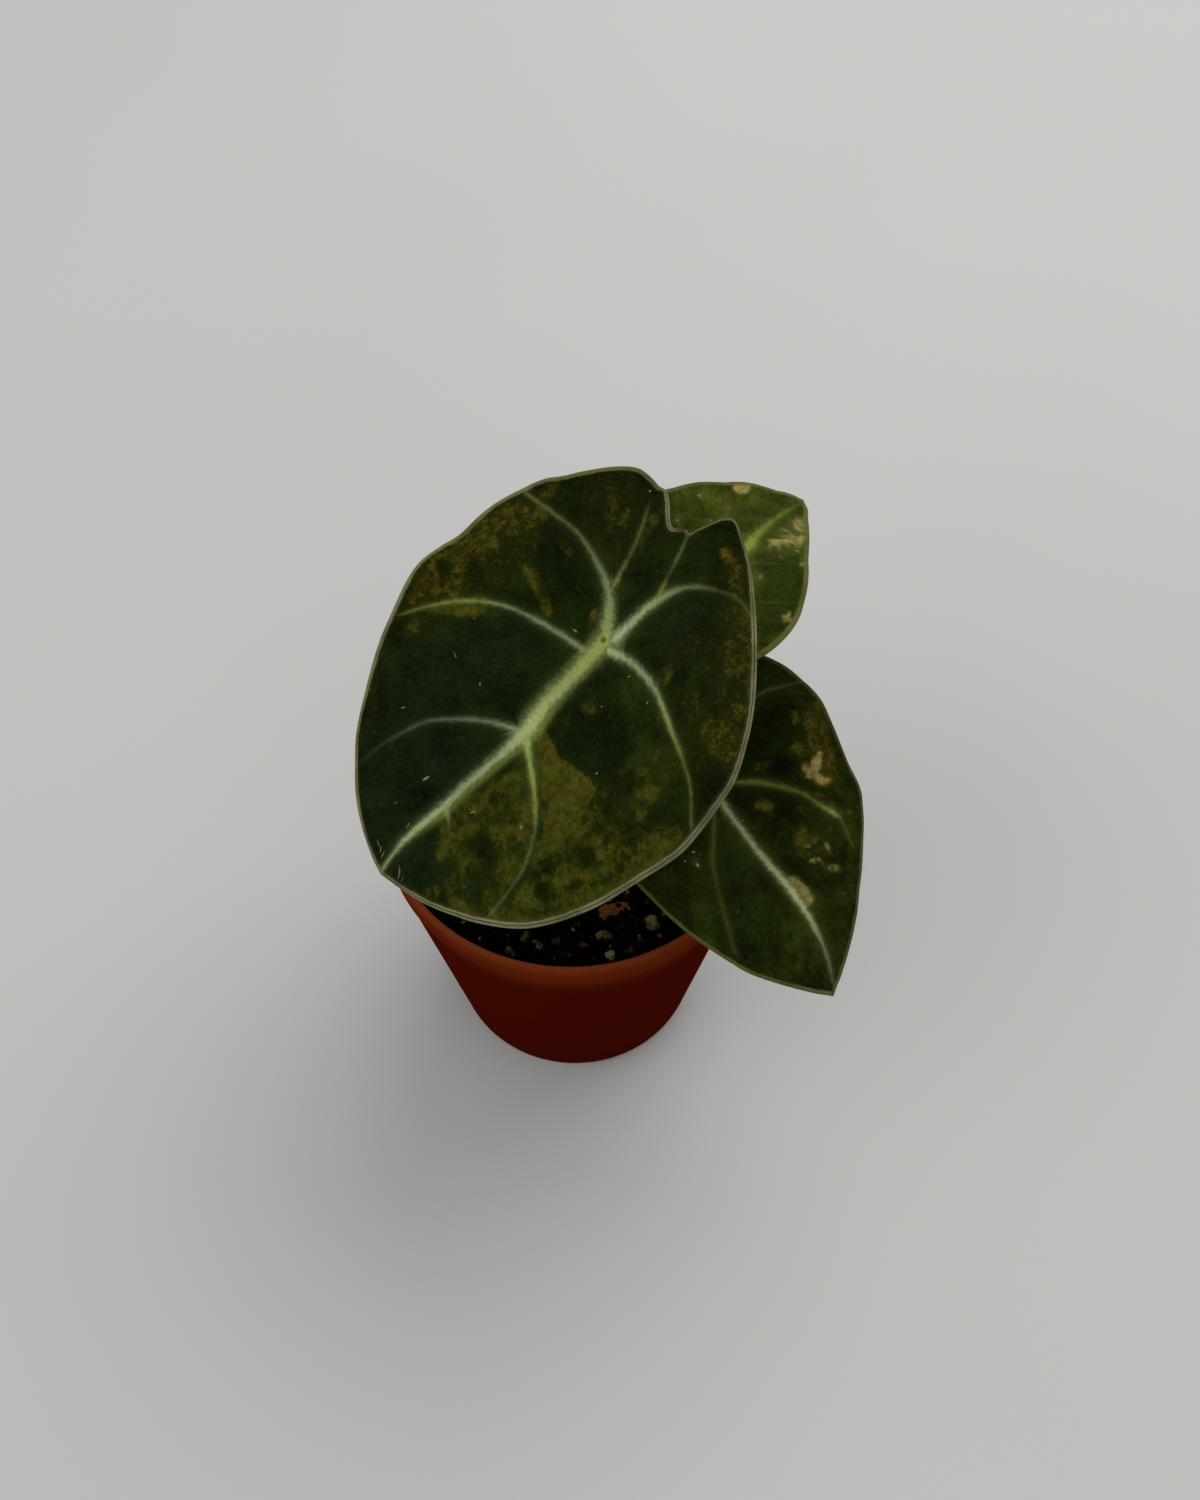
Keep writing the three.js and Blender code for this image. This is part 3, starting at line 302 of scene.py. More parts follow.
BACK = {
    "hub": (16.6, 10.0, 84.0), "heading": 52, "droop": 8, "roll": 14,
    "fold": 0.14, "arch": (0.0060, 0.0040, 0.0030), "wave": (0.3, 4, 4.4),
    "foot_angle": 75, "spokes": 330, "rings": 84, "flank": 0,
    "outline": (
        (27.8, 0.2), (26.8, 2), (24.7, 3.8), (20.5, 7.9), (15, 10.8), (9.4, 13.1), (3, 13.7),
        (-3.6, 12.6), (-9, 9.7), (-12.3, 6.1), (-11.8, 3), (-8.5, 0.2), (-11.8, -2.4), (-12.6, -5.4),
        (-9.8, -8.9), (-5, -11.5), (1.1, -12.6), (7.2, -12), (13.9, -9), (20.8, -4.9), (25.1, -2.2),
        (26.6, -1.3), (27.8, 0.2),
    ),
    "veins": (
        ((0, 0, 0.7, 1, 0.6), (9, 0, 0.8, 1, 0.46), (12.4, 0, 0.95, 1, 0.58), (15.4, 0.4, 0.75, 1, 0.34),
         (20, 0.5, 0.5, 1, 0.22), (24, 0.3, 0.4, 1, 0.14), (26.8, 0.1, 0.2, 0.8, 0.08)),
        ((0.6, 0.2, 0.3, 0.6, 0.15), (2.5, 4, 0.25, 0.6, 0.08), (6.6, 8.4, 0.2, 0.6, 0.05),
         (10.6, 12, 0.15, 0.6, 0.03)),
        ((0.6, -0.2, 0.3, 0.6, 0.15), (2.6, -4, 0.25, 0.6, 0.08), (6.4, -8, 0.2, 0.6, 0.05),
         (9.6, -10.6, 0.15, 0.6, 0.03)),
        ((8, 0.1, 0.2, 0.7, 0.08), (11.4, 3.6, 0.2, 0.7, 0.05), (16, 6.8, 0.15, 0.6, 0.03),
         (18.6, 8.6, 0.1, 0.6, 0.02)),
        ((8, -0.1, 0.2, 0.7, 0.08), (11.2, -3.2, 0.2, 0.7, 0.05), (15.4, -6.2, 0.15, 0.6, 0.03),
         (17.6, -6.8, 0.1, 0.6, 0.02)),
        ((0, 0, 0.4, 0.5, 0.4), (-4, 2.4, 0.3, 0.5, 0.25), (-8, 4, 0.25, 0.5, 0.15),
         (-10.6, 6.4, 0.15, 0.5, 0.05)),
        ((0, 0, 0.4, 0.5, 0.4), (-4, -2, 0.3, 0.5, 0.25), (-8, -3.8, 0.25, 0.5, 0.15),
         (-10.8, -5.6, 0.15, 0.5, 0.05)),
    ),
    "vein_cast": (1, 1, 0.8),
    "margin": (
        (0, 0.6, 0.8, 1), (90, 0.45, 0.6, 1), (180, 0.4, 0.3, 1), (270, 0.6, 0.9, 1), (360, 0.6, 0.8, 1),
    ),
    "olive": (
        (12, 5, 9, 6, 10, 0.5), (20, 1, 6, 4, 0, 0.56), (14, 0.9, 3.4, 1.8, 0, 0.7),
        (9, -5, 4, 2, 30, 0.44), (18, 7, 4, 3, 20, 0.6),
    ),
    "ochre": ((20, -6, 2, 1, 30, 0.4),),
    "cream": (
        (8, -4.3, 2.4, 1, 28, 0.5), (11.4, -0.9, 1.6, 0.8, 20, 0.35), (13, 9.2, 1.2, 0.9, 25, 0.5),
        (11.2, 5.5, 1.6, 0.8, 150, 0.4), (14.2, 6.1, 1.1, 0.7, 0, 0.4), (16.7, -6.5, 2.7, 0.7, 31, 0.4),
        (13, 4.4, 5, 2.4, 0, 0.34), (5, -9, 5, 2, 150, 0.22), (18, -3, 7, 2.6, 170, 0.5),
        (7.4, 8.8, 1.6, 1, 0, 0.4),
    ),
    "lush": ((14, 4, 10, 7, 0, 0.45), (18, -2, 8, 5, 0, 0.4)),
    "dark": ((20, 8, 6, 2, 30, 0.2),),
    "zones": (
        ("cream", 0.78, 1.3, (
            (15.5, -0.8), (19.9, -2.9), (21.1, -4.1), (18.5, -5.7), (16.3, -3.3), (13.9, -1.9),
        )),
        ("cream", 0.8, 1.1, ((21.7, -0.7), (24.8, -1.8), (20.8, -4.3), (20.2, -2.7))),
        ("cream", 0.85, 0.6, ((19.2, 8.4), (21.6, 6.4), (20.6, 5.4), (18.8, 5.9), (18.2, 7.2))),
        ("cream", 0.75, 0.8, ((5, -9.7), (7.2, -10.6), (5.9, -11.6), (4.7, -11.2))),
        ("dark", 0.6, 0.9, (
            (11.9, -1.3), (17.9, -6.1), (13.7, -9.1), (7.7, -11.5), (-0.1, -12), (-2, -11.2),
        )),
    ),
}
BLADES = {"front": FRONT, "right": RIGHT, "back": BACK}


# ---------------------------------------------------------------- fixed sizes


# The pot's small steps and bevels, in metres.
LIP_FLARE = 0.0004
LIP_DEPTH = 0.0012
LIP_WIDTH = 0.0007
LIP_DROP = 0.0009
COLLAR_DRAFT = 0.0005
COLLAR_BEVEL = 0.0004
FOOT_RISE = 0.0006
FOOT_BEVEL = 0.0004
FOOT_WIDTH = 0.0032
FOOT_HOLLOW = 0.0005
POT_ROUNDING = 0.0004
POT_SPOKES = 192

# The lump of mix: its waves and rings in millimetres, its place in the pot in metres.
SOIL_HEIGHT = 44.6
SOIL_SWELL = 0.35
SOIL_RIPPLE = 0.2
MIX_FIRST_RING = 0.7
MIX_LAST_RING = 25.35
MIX_RINGS = 46
MIX_SPOKES = 150
MIX_SIDE_HEIGHTS = (0.042, 0.03, 0.015)
MIX_WALL_GAP = 0.00015

# The grit: how often a grain is split, and how dry and pale each grain is, in order.
GRAIN_LEVELS = 3
# Each tone is partly the grain's own and partly painted light and shade, as it lay under the blades.
PUMICE_TONES = (0.5, 0.42, 0.6, 0.15, 0.42, 1.1, 0.45, 0.25, 0.5)
BARK_TONES = (1.0, 0.3, 0.35, 0.35)
HIDDEN_TONE = 0.4

# The stem and sheaths, in metres, and how far the sheaths reach round the stalks.
STEM_RINGS = 40
STEM_SPOKES = 96
SHEATH_ROWS = 24
SHEATH_COLUMNS = 40
SHEATH_FOOT = 0.0435
SHEATH_WRAP = math.radians(118)

# The stalks, in millimetres: where they start, how they leave the stem and meet the hub.
FOOT_OFFSET = 2.5
STALK_FOOT = 42.0
STALK_RISE = 16
STALK_NECK = 13
STALK_SINK = 0.7
STALK_STEPS = 40
STALK_SIDES = 36
STALK_RINGS = 90

# The blades, in millimetres.
BLOBS = ("olive", "ochre", "cream", "dark", "cool", "lush", "scorch")
PLAIN_BLOB = 0.75
NAP_SLANT = math.radians(49)
FOLD_SOFTNESS = 4
BRANCHED_VEINS = 7
BRANCH_STOPS = 40
BRANCH_SPACING = 3.6
BRANCH_TURNS = (54, 30)
FAR = 1e3
HUB_EDGE_GAP = 99.0
UNDERSIDE_RINGS = 33
BEAD_STEPS = 10
LINT_LIFT = 0.02
LINT_HEIGHT = 0.06

# The stage, in metres: the lights, where they point and how far the camera aims off the pot.
KEY_PLACE = Vector((0.32, 0.42, 0.62))
FILL_PLACE = Vector((-0.5, -0.25, 0.5))
LIT_POINT = Vector((0, 0, 0.06))
AIM_ASIDE = 0.004
AIM_RAISED = 0.00714


# ---------------------------------------------------------------- curves and meshes


def smooth_path(points, steps):
    """Evenly spaced places, steps + 1 of them, on the centripetal curve through the points."""
    places = np.asarray(points, float)
    ends = np.vstack([2 * places[0] - places[1], places, 2 * places[-1] - places[-2]])
    share = np.linspace(0, 1, 24, endpoint=False)[:, None]
    fine = []
    for before, start, end, after in zip(ends, ends[1:], ends[2:], ends[3:]):
        gaps = [
            max(float(np.linalg.norm(b - a)) ** 0.5, 1e-4)
            for a, b in ((before, start), (start, end), (end, after))
        ]
        leave = (start - before) / gaps[0] - (end - before) / (gaps[0] + gaps[1]) + (end - start) / gaps[1]
        reach = (end - start) / gaps[1] - (after - start) / (gaps[1] + gaps[2]) + (after - end) / gaps[2]
        leave, reach = leave * gaps[1], reach * gaps[1]
        fine.append(
            start
            + leave * share
            + (3 * (end - start) - 2 * leave - reach) * share**2
            + (2 * (start - end) + leave + reach) * share**3
        )
    fine = np.vstack(fine + [places[-1:]])
    length = np.concatenate([[0], np.cumsum(np.linalg.norm(np.diff(fine, axis=0), axis=1))])
    want = np.linspace(0, length[-1], steps + 1)
    return np.column_stack([np.interp(want, length, fine[:, axis]) for axis in range(fine.shape[1])])


def fade(value, start, end):
    """0 at start and before it, 1 at end and past it, eased in between."""
    share = np.clip((np.asarray(value, float) - start) / (end - start), 0, 1)
    return share * share * (3 - 2 * share)


def gap_to_path(flat, path):
    """How far each flat place is from the path, how far along it that is, and on which side."""
    gap = np.full(len(flat), 1e9)
    along, side = np.zeros(len(flat)), np.ones(len(flat))
    for index, (start, end) in enumerate(zip(path, path[1:])):
        step = end - start
        share = np.clip((flat - start) @ step / (step @ step), 0, 1)
        away = flat - start - share[:, None] * step
        here = np.hypot(away[:, 0], away[:, 1])
        nearer = here < gap
        gap[nearer] = here[nearer]
        along[nearer] = (index + share[nearer]) / (len(path) - 1)
        side[nearer] = np.where(step[0] * away[:, 1] - step[1] * away[:, 0] < 0, -1.0, 1.0)[nearer]
    return gap, along, side


def rounded(corners, radius, steps=4):
    """A profile of (radius, height) corners with each inner corner cut round."""
    out = [Vector(corners[0])]
    for before, corner, after in zip(corners, corners[1:], corners[2:]):
        here, back, on = Vector(corner), Vector(before) - Vector(corner), Vector(after) - Vector(corner)
        reach = min(radius, back.length * 0.45, on.length * 0.45)
        start, end = here + back.normalized() * reach, here + on.normalized() * reach
        for step in range(steps + 1):
            share = step / steps
            out.append(start.lerp(here, share).lerp(here.lerp(end, share), share))
    out.append(Vector(corners[-1]))
    return [(point.x, point.y) for point in out]


def skin(name, rings, first, last):
    """A closed mesh over rings of equally many places, each anticlockwise, with a pole at each end."""
    count = len(rings[0])
    places = [tuple(place) for ring in rings for place in ring] + [tuple(first), tuple(last)]
    faces = []
    for ring in range(len(rings) - 1):
        here, on = ring * count, (ring + 1) * count
        for spoke in range(count):
            turn = (spoke + 1) % count
            faces.append((here + spoke, on + spoke, on + turn, here + turn))
    pole, end = len(places) - 2, (len(rings) - 1) * count
    faces += [(pole, spoke, (spoke + 1) % count) for spoke in range(count)]
    faces += [(pole + 1, end + (spoke + 1) % count, end + spoke) for spoke in range(count)]
    mesh = bpy.data.meshes.new(name)
    mesh.from_pydata(places, [], faces)
    mesh.validate()
    mesh.shade_smooth()
    return mesh


def unit_circle(spokes):
    """That many places evenly round a circle of radius one."""
    angles = np.linspace(0, 2 * math.pi, spokes, endpoint=False)
    return np.column_stack([np.cos(angles), np.sin(angles)])


def turned(name, profile, spokes):
    """A round body turned from a profile that runs from the top of the axis to its foot."""
    unit = unit_circle(spokes)
    rings = [np.column_stack([radius * unit, np.full(spokes, height)]) for radius, height in profile[1:-1]]
    return skin(name, rings, (0, 0, profile[0][1]), (0, 0, profile[-1][1]))


def store(mesh, name, values):
    """Keeps one number, or one vector, for each vertex of the mesh."""
    values = np.asarray(values, np.float32)
    kind, key = ("FLOAT", "value") if values.ndim == 1 else ("FLOAT_VECTOR", "vector")
    mesh.attributes.new(name, kind, "POINT").data.foreach_set(key, values.ravel())


def cover(mesh, material):
    """Gives the whole mesh that material."""
    mesh.materials.clear()
    mesh.materials.append(material)


def piece_from(name, data, material=None):
    """An object for the mesh, lamp or camera, in the scene, at the origin."""
    piece = bpy.data.objects.new(name, data)
    bpy.context.scene.collection.objects.link(piece)
    if material:
        cover(data, material)
    return piece


def fit(piece, finish, *nodes):
    """The piece rides the plant and stands for the CAD nodes named. Its finish is not used."""
    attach(piece, BODY)
    if nodes:
        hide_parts(*nodes)


def settle(piece):
    """Makes what the piece's modifiers show into its own mesh."""
    bpy.context.view_layer.update()
    evaluated = piece.evaluated_get(bpy.context.evaluated_depsgraph_get())
    mesh = bpy.data.meshes.new_from_object(evaluated)
    piece.modifiers.clear()
    piece.data = mesh
    return mesh


def grow(piece, tree, **values):
    """Replaces the piece's mesh with what the node tree makes of it."""
    modifier = piece.modifiers.new(tree.name, "NODES")
    modifier.node_group = tree
    for item in tree.interface.items_tree:
        if item.in_out == "INPUT" and item.name.lower() in values:
            modifier[item.identifier] = values[item.name.lower()]
    settle(piece)
    return piece


# ---------------------------------------------------------------- node helpers


class Wire:
    """What a node puts out. Sums with it make Math nodes, so that they read like plain sums."""

    def __init__(self, tree, socket):
        self.tree, self.socket = tree, socket

    def __add__(self, other):
        return maths("ADD", self, other)

    def __sub__(self, other):
        return maths("SUBTRACT", self, other)

    def __rsub__(self, other):
        return maths("SUBTRACT", other, self)

    def __mul__(self, other):
        return maths("MULTIPLY", self, other)

    def __truediv__(self, other):
        return maths("DIVIDE", self, other)

    def __abs__(self):
        return maths("ABSOLUTE", self)

    def scaled(self, factor, more):
        """This value times the factor, plus more."""
        return maths("MULTIPLY_ADD", self, factor, more)


class Outputs:
    """A node's outputs as wires, by name or number."""

    def __init__(self, tree, sockets):
        self.tree, self.sockets = tree, sockets

    def __getitem__(self, key):
        return Wire(self.tree, self.sockets[key])


def put(socket, value):
    """Links a wire to the socket, or sets the socket to any other value. Colours are opaque."""
    if isinstance(value, Wire):
        value.tree.links.new(value.socket, socket)
    elif socket.type == "RGBA":
        socket.default_value = (*value[:3], 1.0)
    else:
        socket.default_value = value


def node(tree, kind, inputs=None, **settings):
    """The outputs of a new node of that kind."""
    made = tree.nodes.new(kind)
    for key, value in settings.items():
        setattr(made, key, value)
    for key, value in (inputs or {}).items():
        put(made.inputs[key], value)
    return Outputs(tree, made.outputs)


def tree_of(values):
    """The node tree that the wires among the values belong to."""
    return next(value.tree for value in values if isinstance(value, Wire))


def maths(operation, *values):
    """The result of a Math node."""
    return node(tree_of(values), "ShaderNodeMath", dict(enumerate(values)), operation=operation)[0]


def vectors(operation, *values, out="Vector", **named):
    """The result of a Vector Math node."""
    inputs = {**dict(enumerate(values)), **named}
    return node(tree_of(values), "ShaderNodeVectorMath", inputs, operation=operation)[out]


def ease(value, start, end, low=0.0, high=1.0):
    """low at start, high at end, eased in between."""
    inputs = {0: value, 1: start, 2: end, 3: low, 4: high}
    return node(value.tree, "ShaderNodeMapRange", inputs, interpolation_type="SMOOTHSTEP")[0]


def tint(share, under, over, how="MIX"):
    """Colour over laid on colour under by the share."""
    tree = tree_of((share, under, over))
    return node(tree, "ShaderNodeMix", {0: share, 6: under, 7: over}, data_type="RGBA", blend_type=how)[2]


def shaded(colour, factor):
    """The colour made darker or lighter by the factor."""
    grey = node(factor.tree, "ShaderNodeCombineColor", {0: factor, 1: factor, 2: factor})[0]
    return tint(1.0, colour, grey, "MULTIPLY")


def grain(place, scale, detail=3.0, rough=0.55, shift=0.0):
    """Noise about one half, with spots 1/scale long."""
    if shift:
        place = vectors("ADD", place, (shift, shift, shift))
    inputs = {"Vector": place, "Scale": scale, "Detail": detail, "Roughness": rough}
    return node(place.tree, "ShaderNodeTexNoise", inputs)["Fac"]


def stored(tree, name, output="Fac"):
    """What the mesh keeps for each vertex under that name."""
    return node(tree, "ShaderNodeAttribute", attribute_name=name, attribute_type="GEOMETRY")[output]


def place_in_mm(tree):
    """The place on the piece, in millimetres."""
    return vectors("SCALE", node(tree, "ShaderNodeTexCoord")["Object"], Scale=1 / MM)


def from_axis(place):
    """How far the place is from the upright axis, and how high it is."""
    parts = node(place.tree, "ShaderNodeSeparateXYZ", {0: place})
    flat = node(place.tree, "ShaderNodeCombineXYZ", {0: parts["X"], 1: parts["Y"]})[0]
    return vectors("LENGTH", flat, out="Value"), parts["Z"]


def start_material(name, roughness, specular=0.5, sheen=(0.0, 0.5, (1.0, 1.0, 1.0))):
    """A new material: its node tree, its shader and itself."""
    material = bpy.data.materials.new(name)
    material.use_nodes = True
    shader = material.node_tree.nodes["Principled BSDF"]
    strength, spread, colour = sheen
    for key, value in (
        ("Roughness", roughness), ("Specular IOR Level", specular),
        ("Sheen Weight", strength), ("Sheen Roughness", spread), ("Sheen Tint", colour),
    ):
        put(shader.inputs[key], value)
    return material.node_tree, shader, material


def relief(shader, height, depth):
    """Raises the surface by height times depth, in metres, as shading alone."""
    bump = node(height.tree, "ShaderNodeBump", {"Height": height, "Distance": depth, "Strength": 1.0})
    put(shader.inputs["Normal"], bump[0])


def start_group(name, kind, inputs, outputs):
    """A node group with the sockets named, what it is given and where its results go."""
    tree = bpy.data.node_groups.new(name, kind)
    for label, socket, value in inputs:
        made = tree.interface.new_socket(name=label, in_out="INPUT", socket_type="NodeSocket" + socket)
        if value is not None:
            made.default_value = value
    for label, socket in outputs:
        tree.interface.new_socket(name=label, in_out="OUTPUT", socket_type="NodeSocket" + socket)
    return tree, node(tree, "NodeGroupInput"), tree.nodes.new("NodeGroupOutput").inputs


def placed(tree, name, inputs):
    """The outputs of the shader group of that name, placed in the tree."""
    group = bpy.data.node_groups.get(name) or GROUPS[name]()
    return node(tree, "ShaderNodeGroup", inputs, node_tree=group)


# ---------------------------------------------------------------- shader groups


def mottle_group():
    """Ragged patches over a thin wash, both fuller where the density is high."""
    tree, given, out = start_group(
        "leaf_mottle", "ShaderNodeTree",
        (("Density", "Float", 0.0), ("Place", "Vector", None), ("Streaks", "Vector", None),
         ("Scale", "Float", 1.0), ("Raggedness", "Float", 1.0), ("Rough", "Float", 0.7),
         ("Wash", "Float", 0.3)),
        (("Mask", "Float"), ("Depth", "Float")),
    )
    density = given["Density"]
    blot = grain(given["Place"], given["Scale"], 6.0, given["Rough"])
    drawn = grain(given["Streaks"], given["Scale"] * 3.1, 5.0, given["Rough"])
    level = (drawn.scaled(0.6, blot) - 0.8).scaled(given["Raggedness"], density)
    patch = ease(level, 0.3, 0.7) * ease(density, 0.02, 0.16)
    wash = ease(density, 0.08, 0.7) * given["Wash"]
    put(out["Mask"], maths("MAXIMUM", patch, wash))
    put(out["Depth"], ease(level, 0.35, 1.0))
    return tree


def vein_group():
    """A vein's ribbon with combed edges, its core and the pale halo round it."""
    tree, given, out = start_group(
        "vein_ribbon", "ShaderNodeTree",
        (("Side", "Float", 1.0), ("Width", "Float", 0.0), ("Gap", "Float", 1.0),
         ("Streaks", "Vector", None), ("Feather", "Float", 0.8)),
        (("Ribbon", "Float"), ("Core", "Float"), ("Halo", "Float")),
    )
    width, streaks = given["Width"], given["Streaks"]
    near = maths("MAXIMUM", abs(given["Side"]) - width, given["Gap"] - 0.4)
    combed = (grain(streaks, 2.3, 5.0, 0.74) - 0.5) * given["Feather"] * ease(width, 0.1, 1.0, 0.6, 1.3)
    waver = (grain(streaks, 0.7, 2.0, 0.5, 7.0) - 0.5) * 0.7
    gap = near + combed + waver * 0.6
    put(out["Ribbon"], ease(gap, width.scaled(0.35, 0.3), width.scaled(-0.5, -0.16)))
    put(out["Core"], ease(gap, 0.05, width * -0.85))
    put(out["Halo"], ease(gap, 2.0, 0.0))
    return tree


def nap_group():
    """The velvet nap: fine streaks, soft clouds and pinprick glints, with the height of it."""
    tree, given, out = start_group(
        "velvet_nap", "ShaderNodeTree",
        (("Place", "Vector", None), ("Streaks", "Vector", None)),
        (("Shade", "Float"), ("Glints", "Float"), ("Height", "Float")),
    )
    place = given["Place"]
    cloud = grain(place, 0.16, 3.0)
    streak = grain(given["Streaks"], 2.3, 5.0, 0.7)
    fine = grain(place, 5.5, 3.0, 0.65)
    put(out["Shade"], (fine - 0.5).scaled(1.5, streak.scaled(2.2, cloud.scaled(2.4, -1.3))))
    put(out["Glints"], ease(grain(place, 3.2, 1.0, 0.5, 17.0), 0.72, 0.8))
    put(out["Height"], fine.scaled(0.6, streak))
    return tree


def pitted_group():
    """A broken, porous skin: lighter swells, dark pits and the height of both."""
    tree, given, out = start_group(
        "pitted_skin", "ShaderNodeTree",
        (("Place", "Vector", None), ("Scale", "Float", 1.0)),
        (("Shade", "Float"), ("Pits", "Float"), ("Height", "Float")),
    )
    place, scale = given["Place"], given["Scale"]
    swell = grain(place, scale, 5.0, 0.6)
    cells = node(tree, "ShaderNodeTexVoronoi", {"Vector": place, "Scale": scale * 2.2})["Distance"]
    pits = ease(cells, 0.34, 0.1) * ease(swell, 0.4, 0.58)
    put(out["Shade"], swell.scaled(1.2, 0.4))
    put(out["Pits"], pits)
    put(out["Height"], swell - pits)
    return tree


GROUPS = {
    "leaf_mottle": mottle_group, "vein_ribbon": vein_group,
    "velvet_nap": nap_group, "pitted_skin": pitted_group,
}


# ---------------------------------------------------------------- the blades' looks


# From the lowest patches to the uppermost: the kind, 1/length of its spots, raggedness, roughness,
# strength of the wash between them, contrast of the specks and how far some of them redden.
PATCHES = (
    ("ochre", 0.7, 1.8, 0.76, 0.5, 0.5, 0.04),
    ("olive", 0.4, 1.6, 0.64, 0.45, 0.42, 0.0),
    ("cream", 0.55, 1.3, 0.62, 0.45, 0.28, 0.02),
)
LUSH_CAST = (1.7, 2.3)  # how much brighter than the ground its clouds and its leafy parts are
# Tint of the darker parts: greener, as the painted shadow on the right blade is.
DARK_CAST = (0.84, 1.0, 0.8)
DRIFT_CAST = (0.9, 1.04, 1.0)
WEB_CENTRE = (-0.3, 1.1, 0)
NAP_DEPTH = 0.00012


def ground_colour(place, shade, base, paint):
    """The dark ground: greener in clouds, with a painted bluish sheen and darker parts where the blade says
    so; on the right blade the darker parts are painted shadow.
    """
    dark = stored(place.tree, "dark")
    light = ease(dark, 0.6, 0.0)
    clouds = ease(grain(place, 0.24, 6.0, 0.66, 2.0), 0.44, 0.66)
    leafy = grain(place, 0.3, 4.0, 0.6, 15.0).scaled(1.6, -0.8) + stored(place.tree, "lush")
    cloudy, lush = ([factor * part for part in base] for factor in LUSH_CAST)
    colour = tint(clouds * light, base, cloudy)
    colour = tint(ease(leafy, 0.3, 0.75) * light, colour, lush)
    # Painted sheen: a bluish cast laid on the ground where the velvet shone.
    colour = tint(stored(place.tree, "cool") * 0.8, colour, paint.cool)
    # Darker where the blade's dark marks lie; on the right blade that is painted shadow.
    colour = shaded(shaded(colour, shade), 1.0 - dark * dark * 0.64)
    colour = tint(dark, colour, DARK_CAST, "MULTIPLY")
    minor = ease(stored(place.tree, "minor_gap"), 0.4, 0.0) * 0.1
    return tint(minor * ease(grain(place, 0.5, 3.0), 0.4, 0.65), colour, paint.halo)


def patch_colour(colour, place, streaks, paint):
    """Ochre freckles, olive clouds and cream patches laid on the ground."""
    speck = grain(place, 1.5, 6.0, 0.75, 5.0)
    blotch = ease(grain(place, 0.5, 4.0, 0.6, 9.0), 0.3, 0.7, 0.75, 1.25)
    drift = ease(grain(place, 0.3, 4.0, 0.6, 11.0), 0.35, 0.65)
    for label, scale, ragged, rough, wash, contrast, reddened in PATCHES:
        patch = placed(place.tree, "leaf_mottle", {
            "Density": stored(place.tree, label), "Place": place,
            "Streaks": place if label == "ochre" else streaks,
            "Scale": scale, "Raggedness": ragged, "Rough": rough, "Wash": wash,
        })
        stain = tint(patch["Depth"], getattr(paint, label + "_deep"), getattr(paint, label))
        stain = shaded(stain, ease(speck, 0.3, 0.7, 1 - contrast, 1 + contrast))
        hues = tint(drift, (1.03 + reddened, 1 - reddened / 2, 1.0), DRIFT_CAST)
        stain = tint(1.0, shaded(stain, blotch), hues, "MULTIPLY")
        colour = tint(patch["Mask"] * 0.86, colour, stain)
    return colour


def vein_colour(colour, streaks, veins, cast, paint):
    """The halo beside the veins and the ribbons themselves, yellower where they are young."""
    flank, strength = stored(streaks.tree, "flank"), stored(streaks.tree, "vein_strength")
    halo = veins["Halo"] * veins["Halo"] * strength
    beside = tint(flank, paint.halo, paint.vein_edge_yellow)
    colour = tint(maths("MAXIMUM", halo * 0.6, flank * 0.5), colour, beside)
    yellow = maths("MAXIMUM", stored(streaks.tree, "vein_yellow"), flank * 0.75)
    line = tint(yellow, paint.vein, paint.vein_yellow)
    soft = tint(yellow, paint.vein_edge, paint.vein_edge_yellow)
    line = tint(1.0, tint(veins["Core"], soft, line), cast, "MULTIPLY")
    line = shaded(line, ease(grain(streaks, 2.6, 4.0, 0.65, 3.0), 0.25, 0.7, 0.84, 1.12))
    return tint(veins["Ribbon"] * strength, colour, line)


def hub_colour(colour, place, streaks, ribbon, paint):
    """The pale web between the veins where they meet, and the hub's own middle."""
    web = vectors("DISTANCE", place, WEB_CENTRE, out="Value")
    web = grain(streaks, 1.6, 4.0, 0.7, 13.0).scaled(1.8, web)
    web = ease(web, 2.9, 1.5) * ease(ribbon, 1.0, 0.0, 0.2, 0.8)
    middle = grain(place, 1.6, 3.0).scaled(0.9, vectors("LENGTH", place, out="Value"))
    colour = tint(web, colour, paint.vein_edge)
    return tint(ease(middle, 1.1, 0.55, 0.0, 0.75), colour, paint.back)


def margin_colour(colour, place, paint):
    """The dull band along the edge, a pale line inside it and the lip outside it."""
    young = stored(place.tree, "margin_green")
    rim = stored(place.tree, "margin") * ease(grain(place, 0.3, 4.0, 0.6, 21.0), 0.35, 0.6, 0.6, 1.0)
    wobble = grain(place, 0.9, 5.0, 0.65) - 0.5
    inward = wobble.scaled(0.34, stored(place.tree, "edge_gap")) / stored(place.tree, "margin_width")
    band = ease(inward, young.scaled(-1.1, 1.8), young.scaled(-0.3, 0.7)) * rim
    colour = tint(band * 0.75, colour, tint(young, paint.margin, paint.olive_deep))
    inner = ease(inward, 0.44, 0.58) * ease(inward, 1.0, 0.78)
    inner = inner * (rim * ease(young, 0.7, 0.0, 0.1, 0.9))
    colour = tint(inner, colour, paint.margin_line)
    lip_end = young.scaled(1.2, 0.4)
    lip = ease(inward, lip_end, lip_end * 0.6) * rim
    return tint(lip, colour, tint(young, paint.margin_line, paint.margin_green))


def underside_colour(place, paint):
    """Dull green with paler veins."""
    colour = shaded(paint.underside, ease(grain(place, 0.5, 5.0, 0.6), 0.3, 0.7, 0.75, 1.2))
    for key, start, end, most in (("vein_gap", 0.5, -0.2, 0.75), ("minor_gap", 0.4, 0.0, 0.4)):
        share = ease(stored(place.tree, key), start, end, 0.0, most)
        colour = tint(share, colour, paint.underside_vein)
    return colour


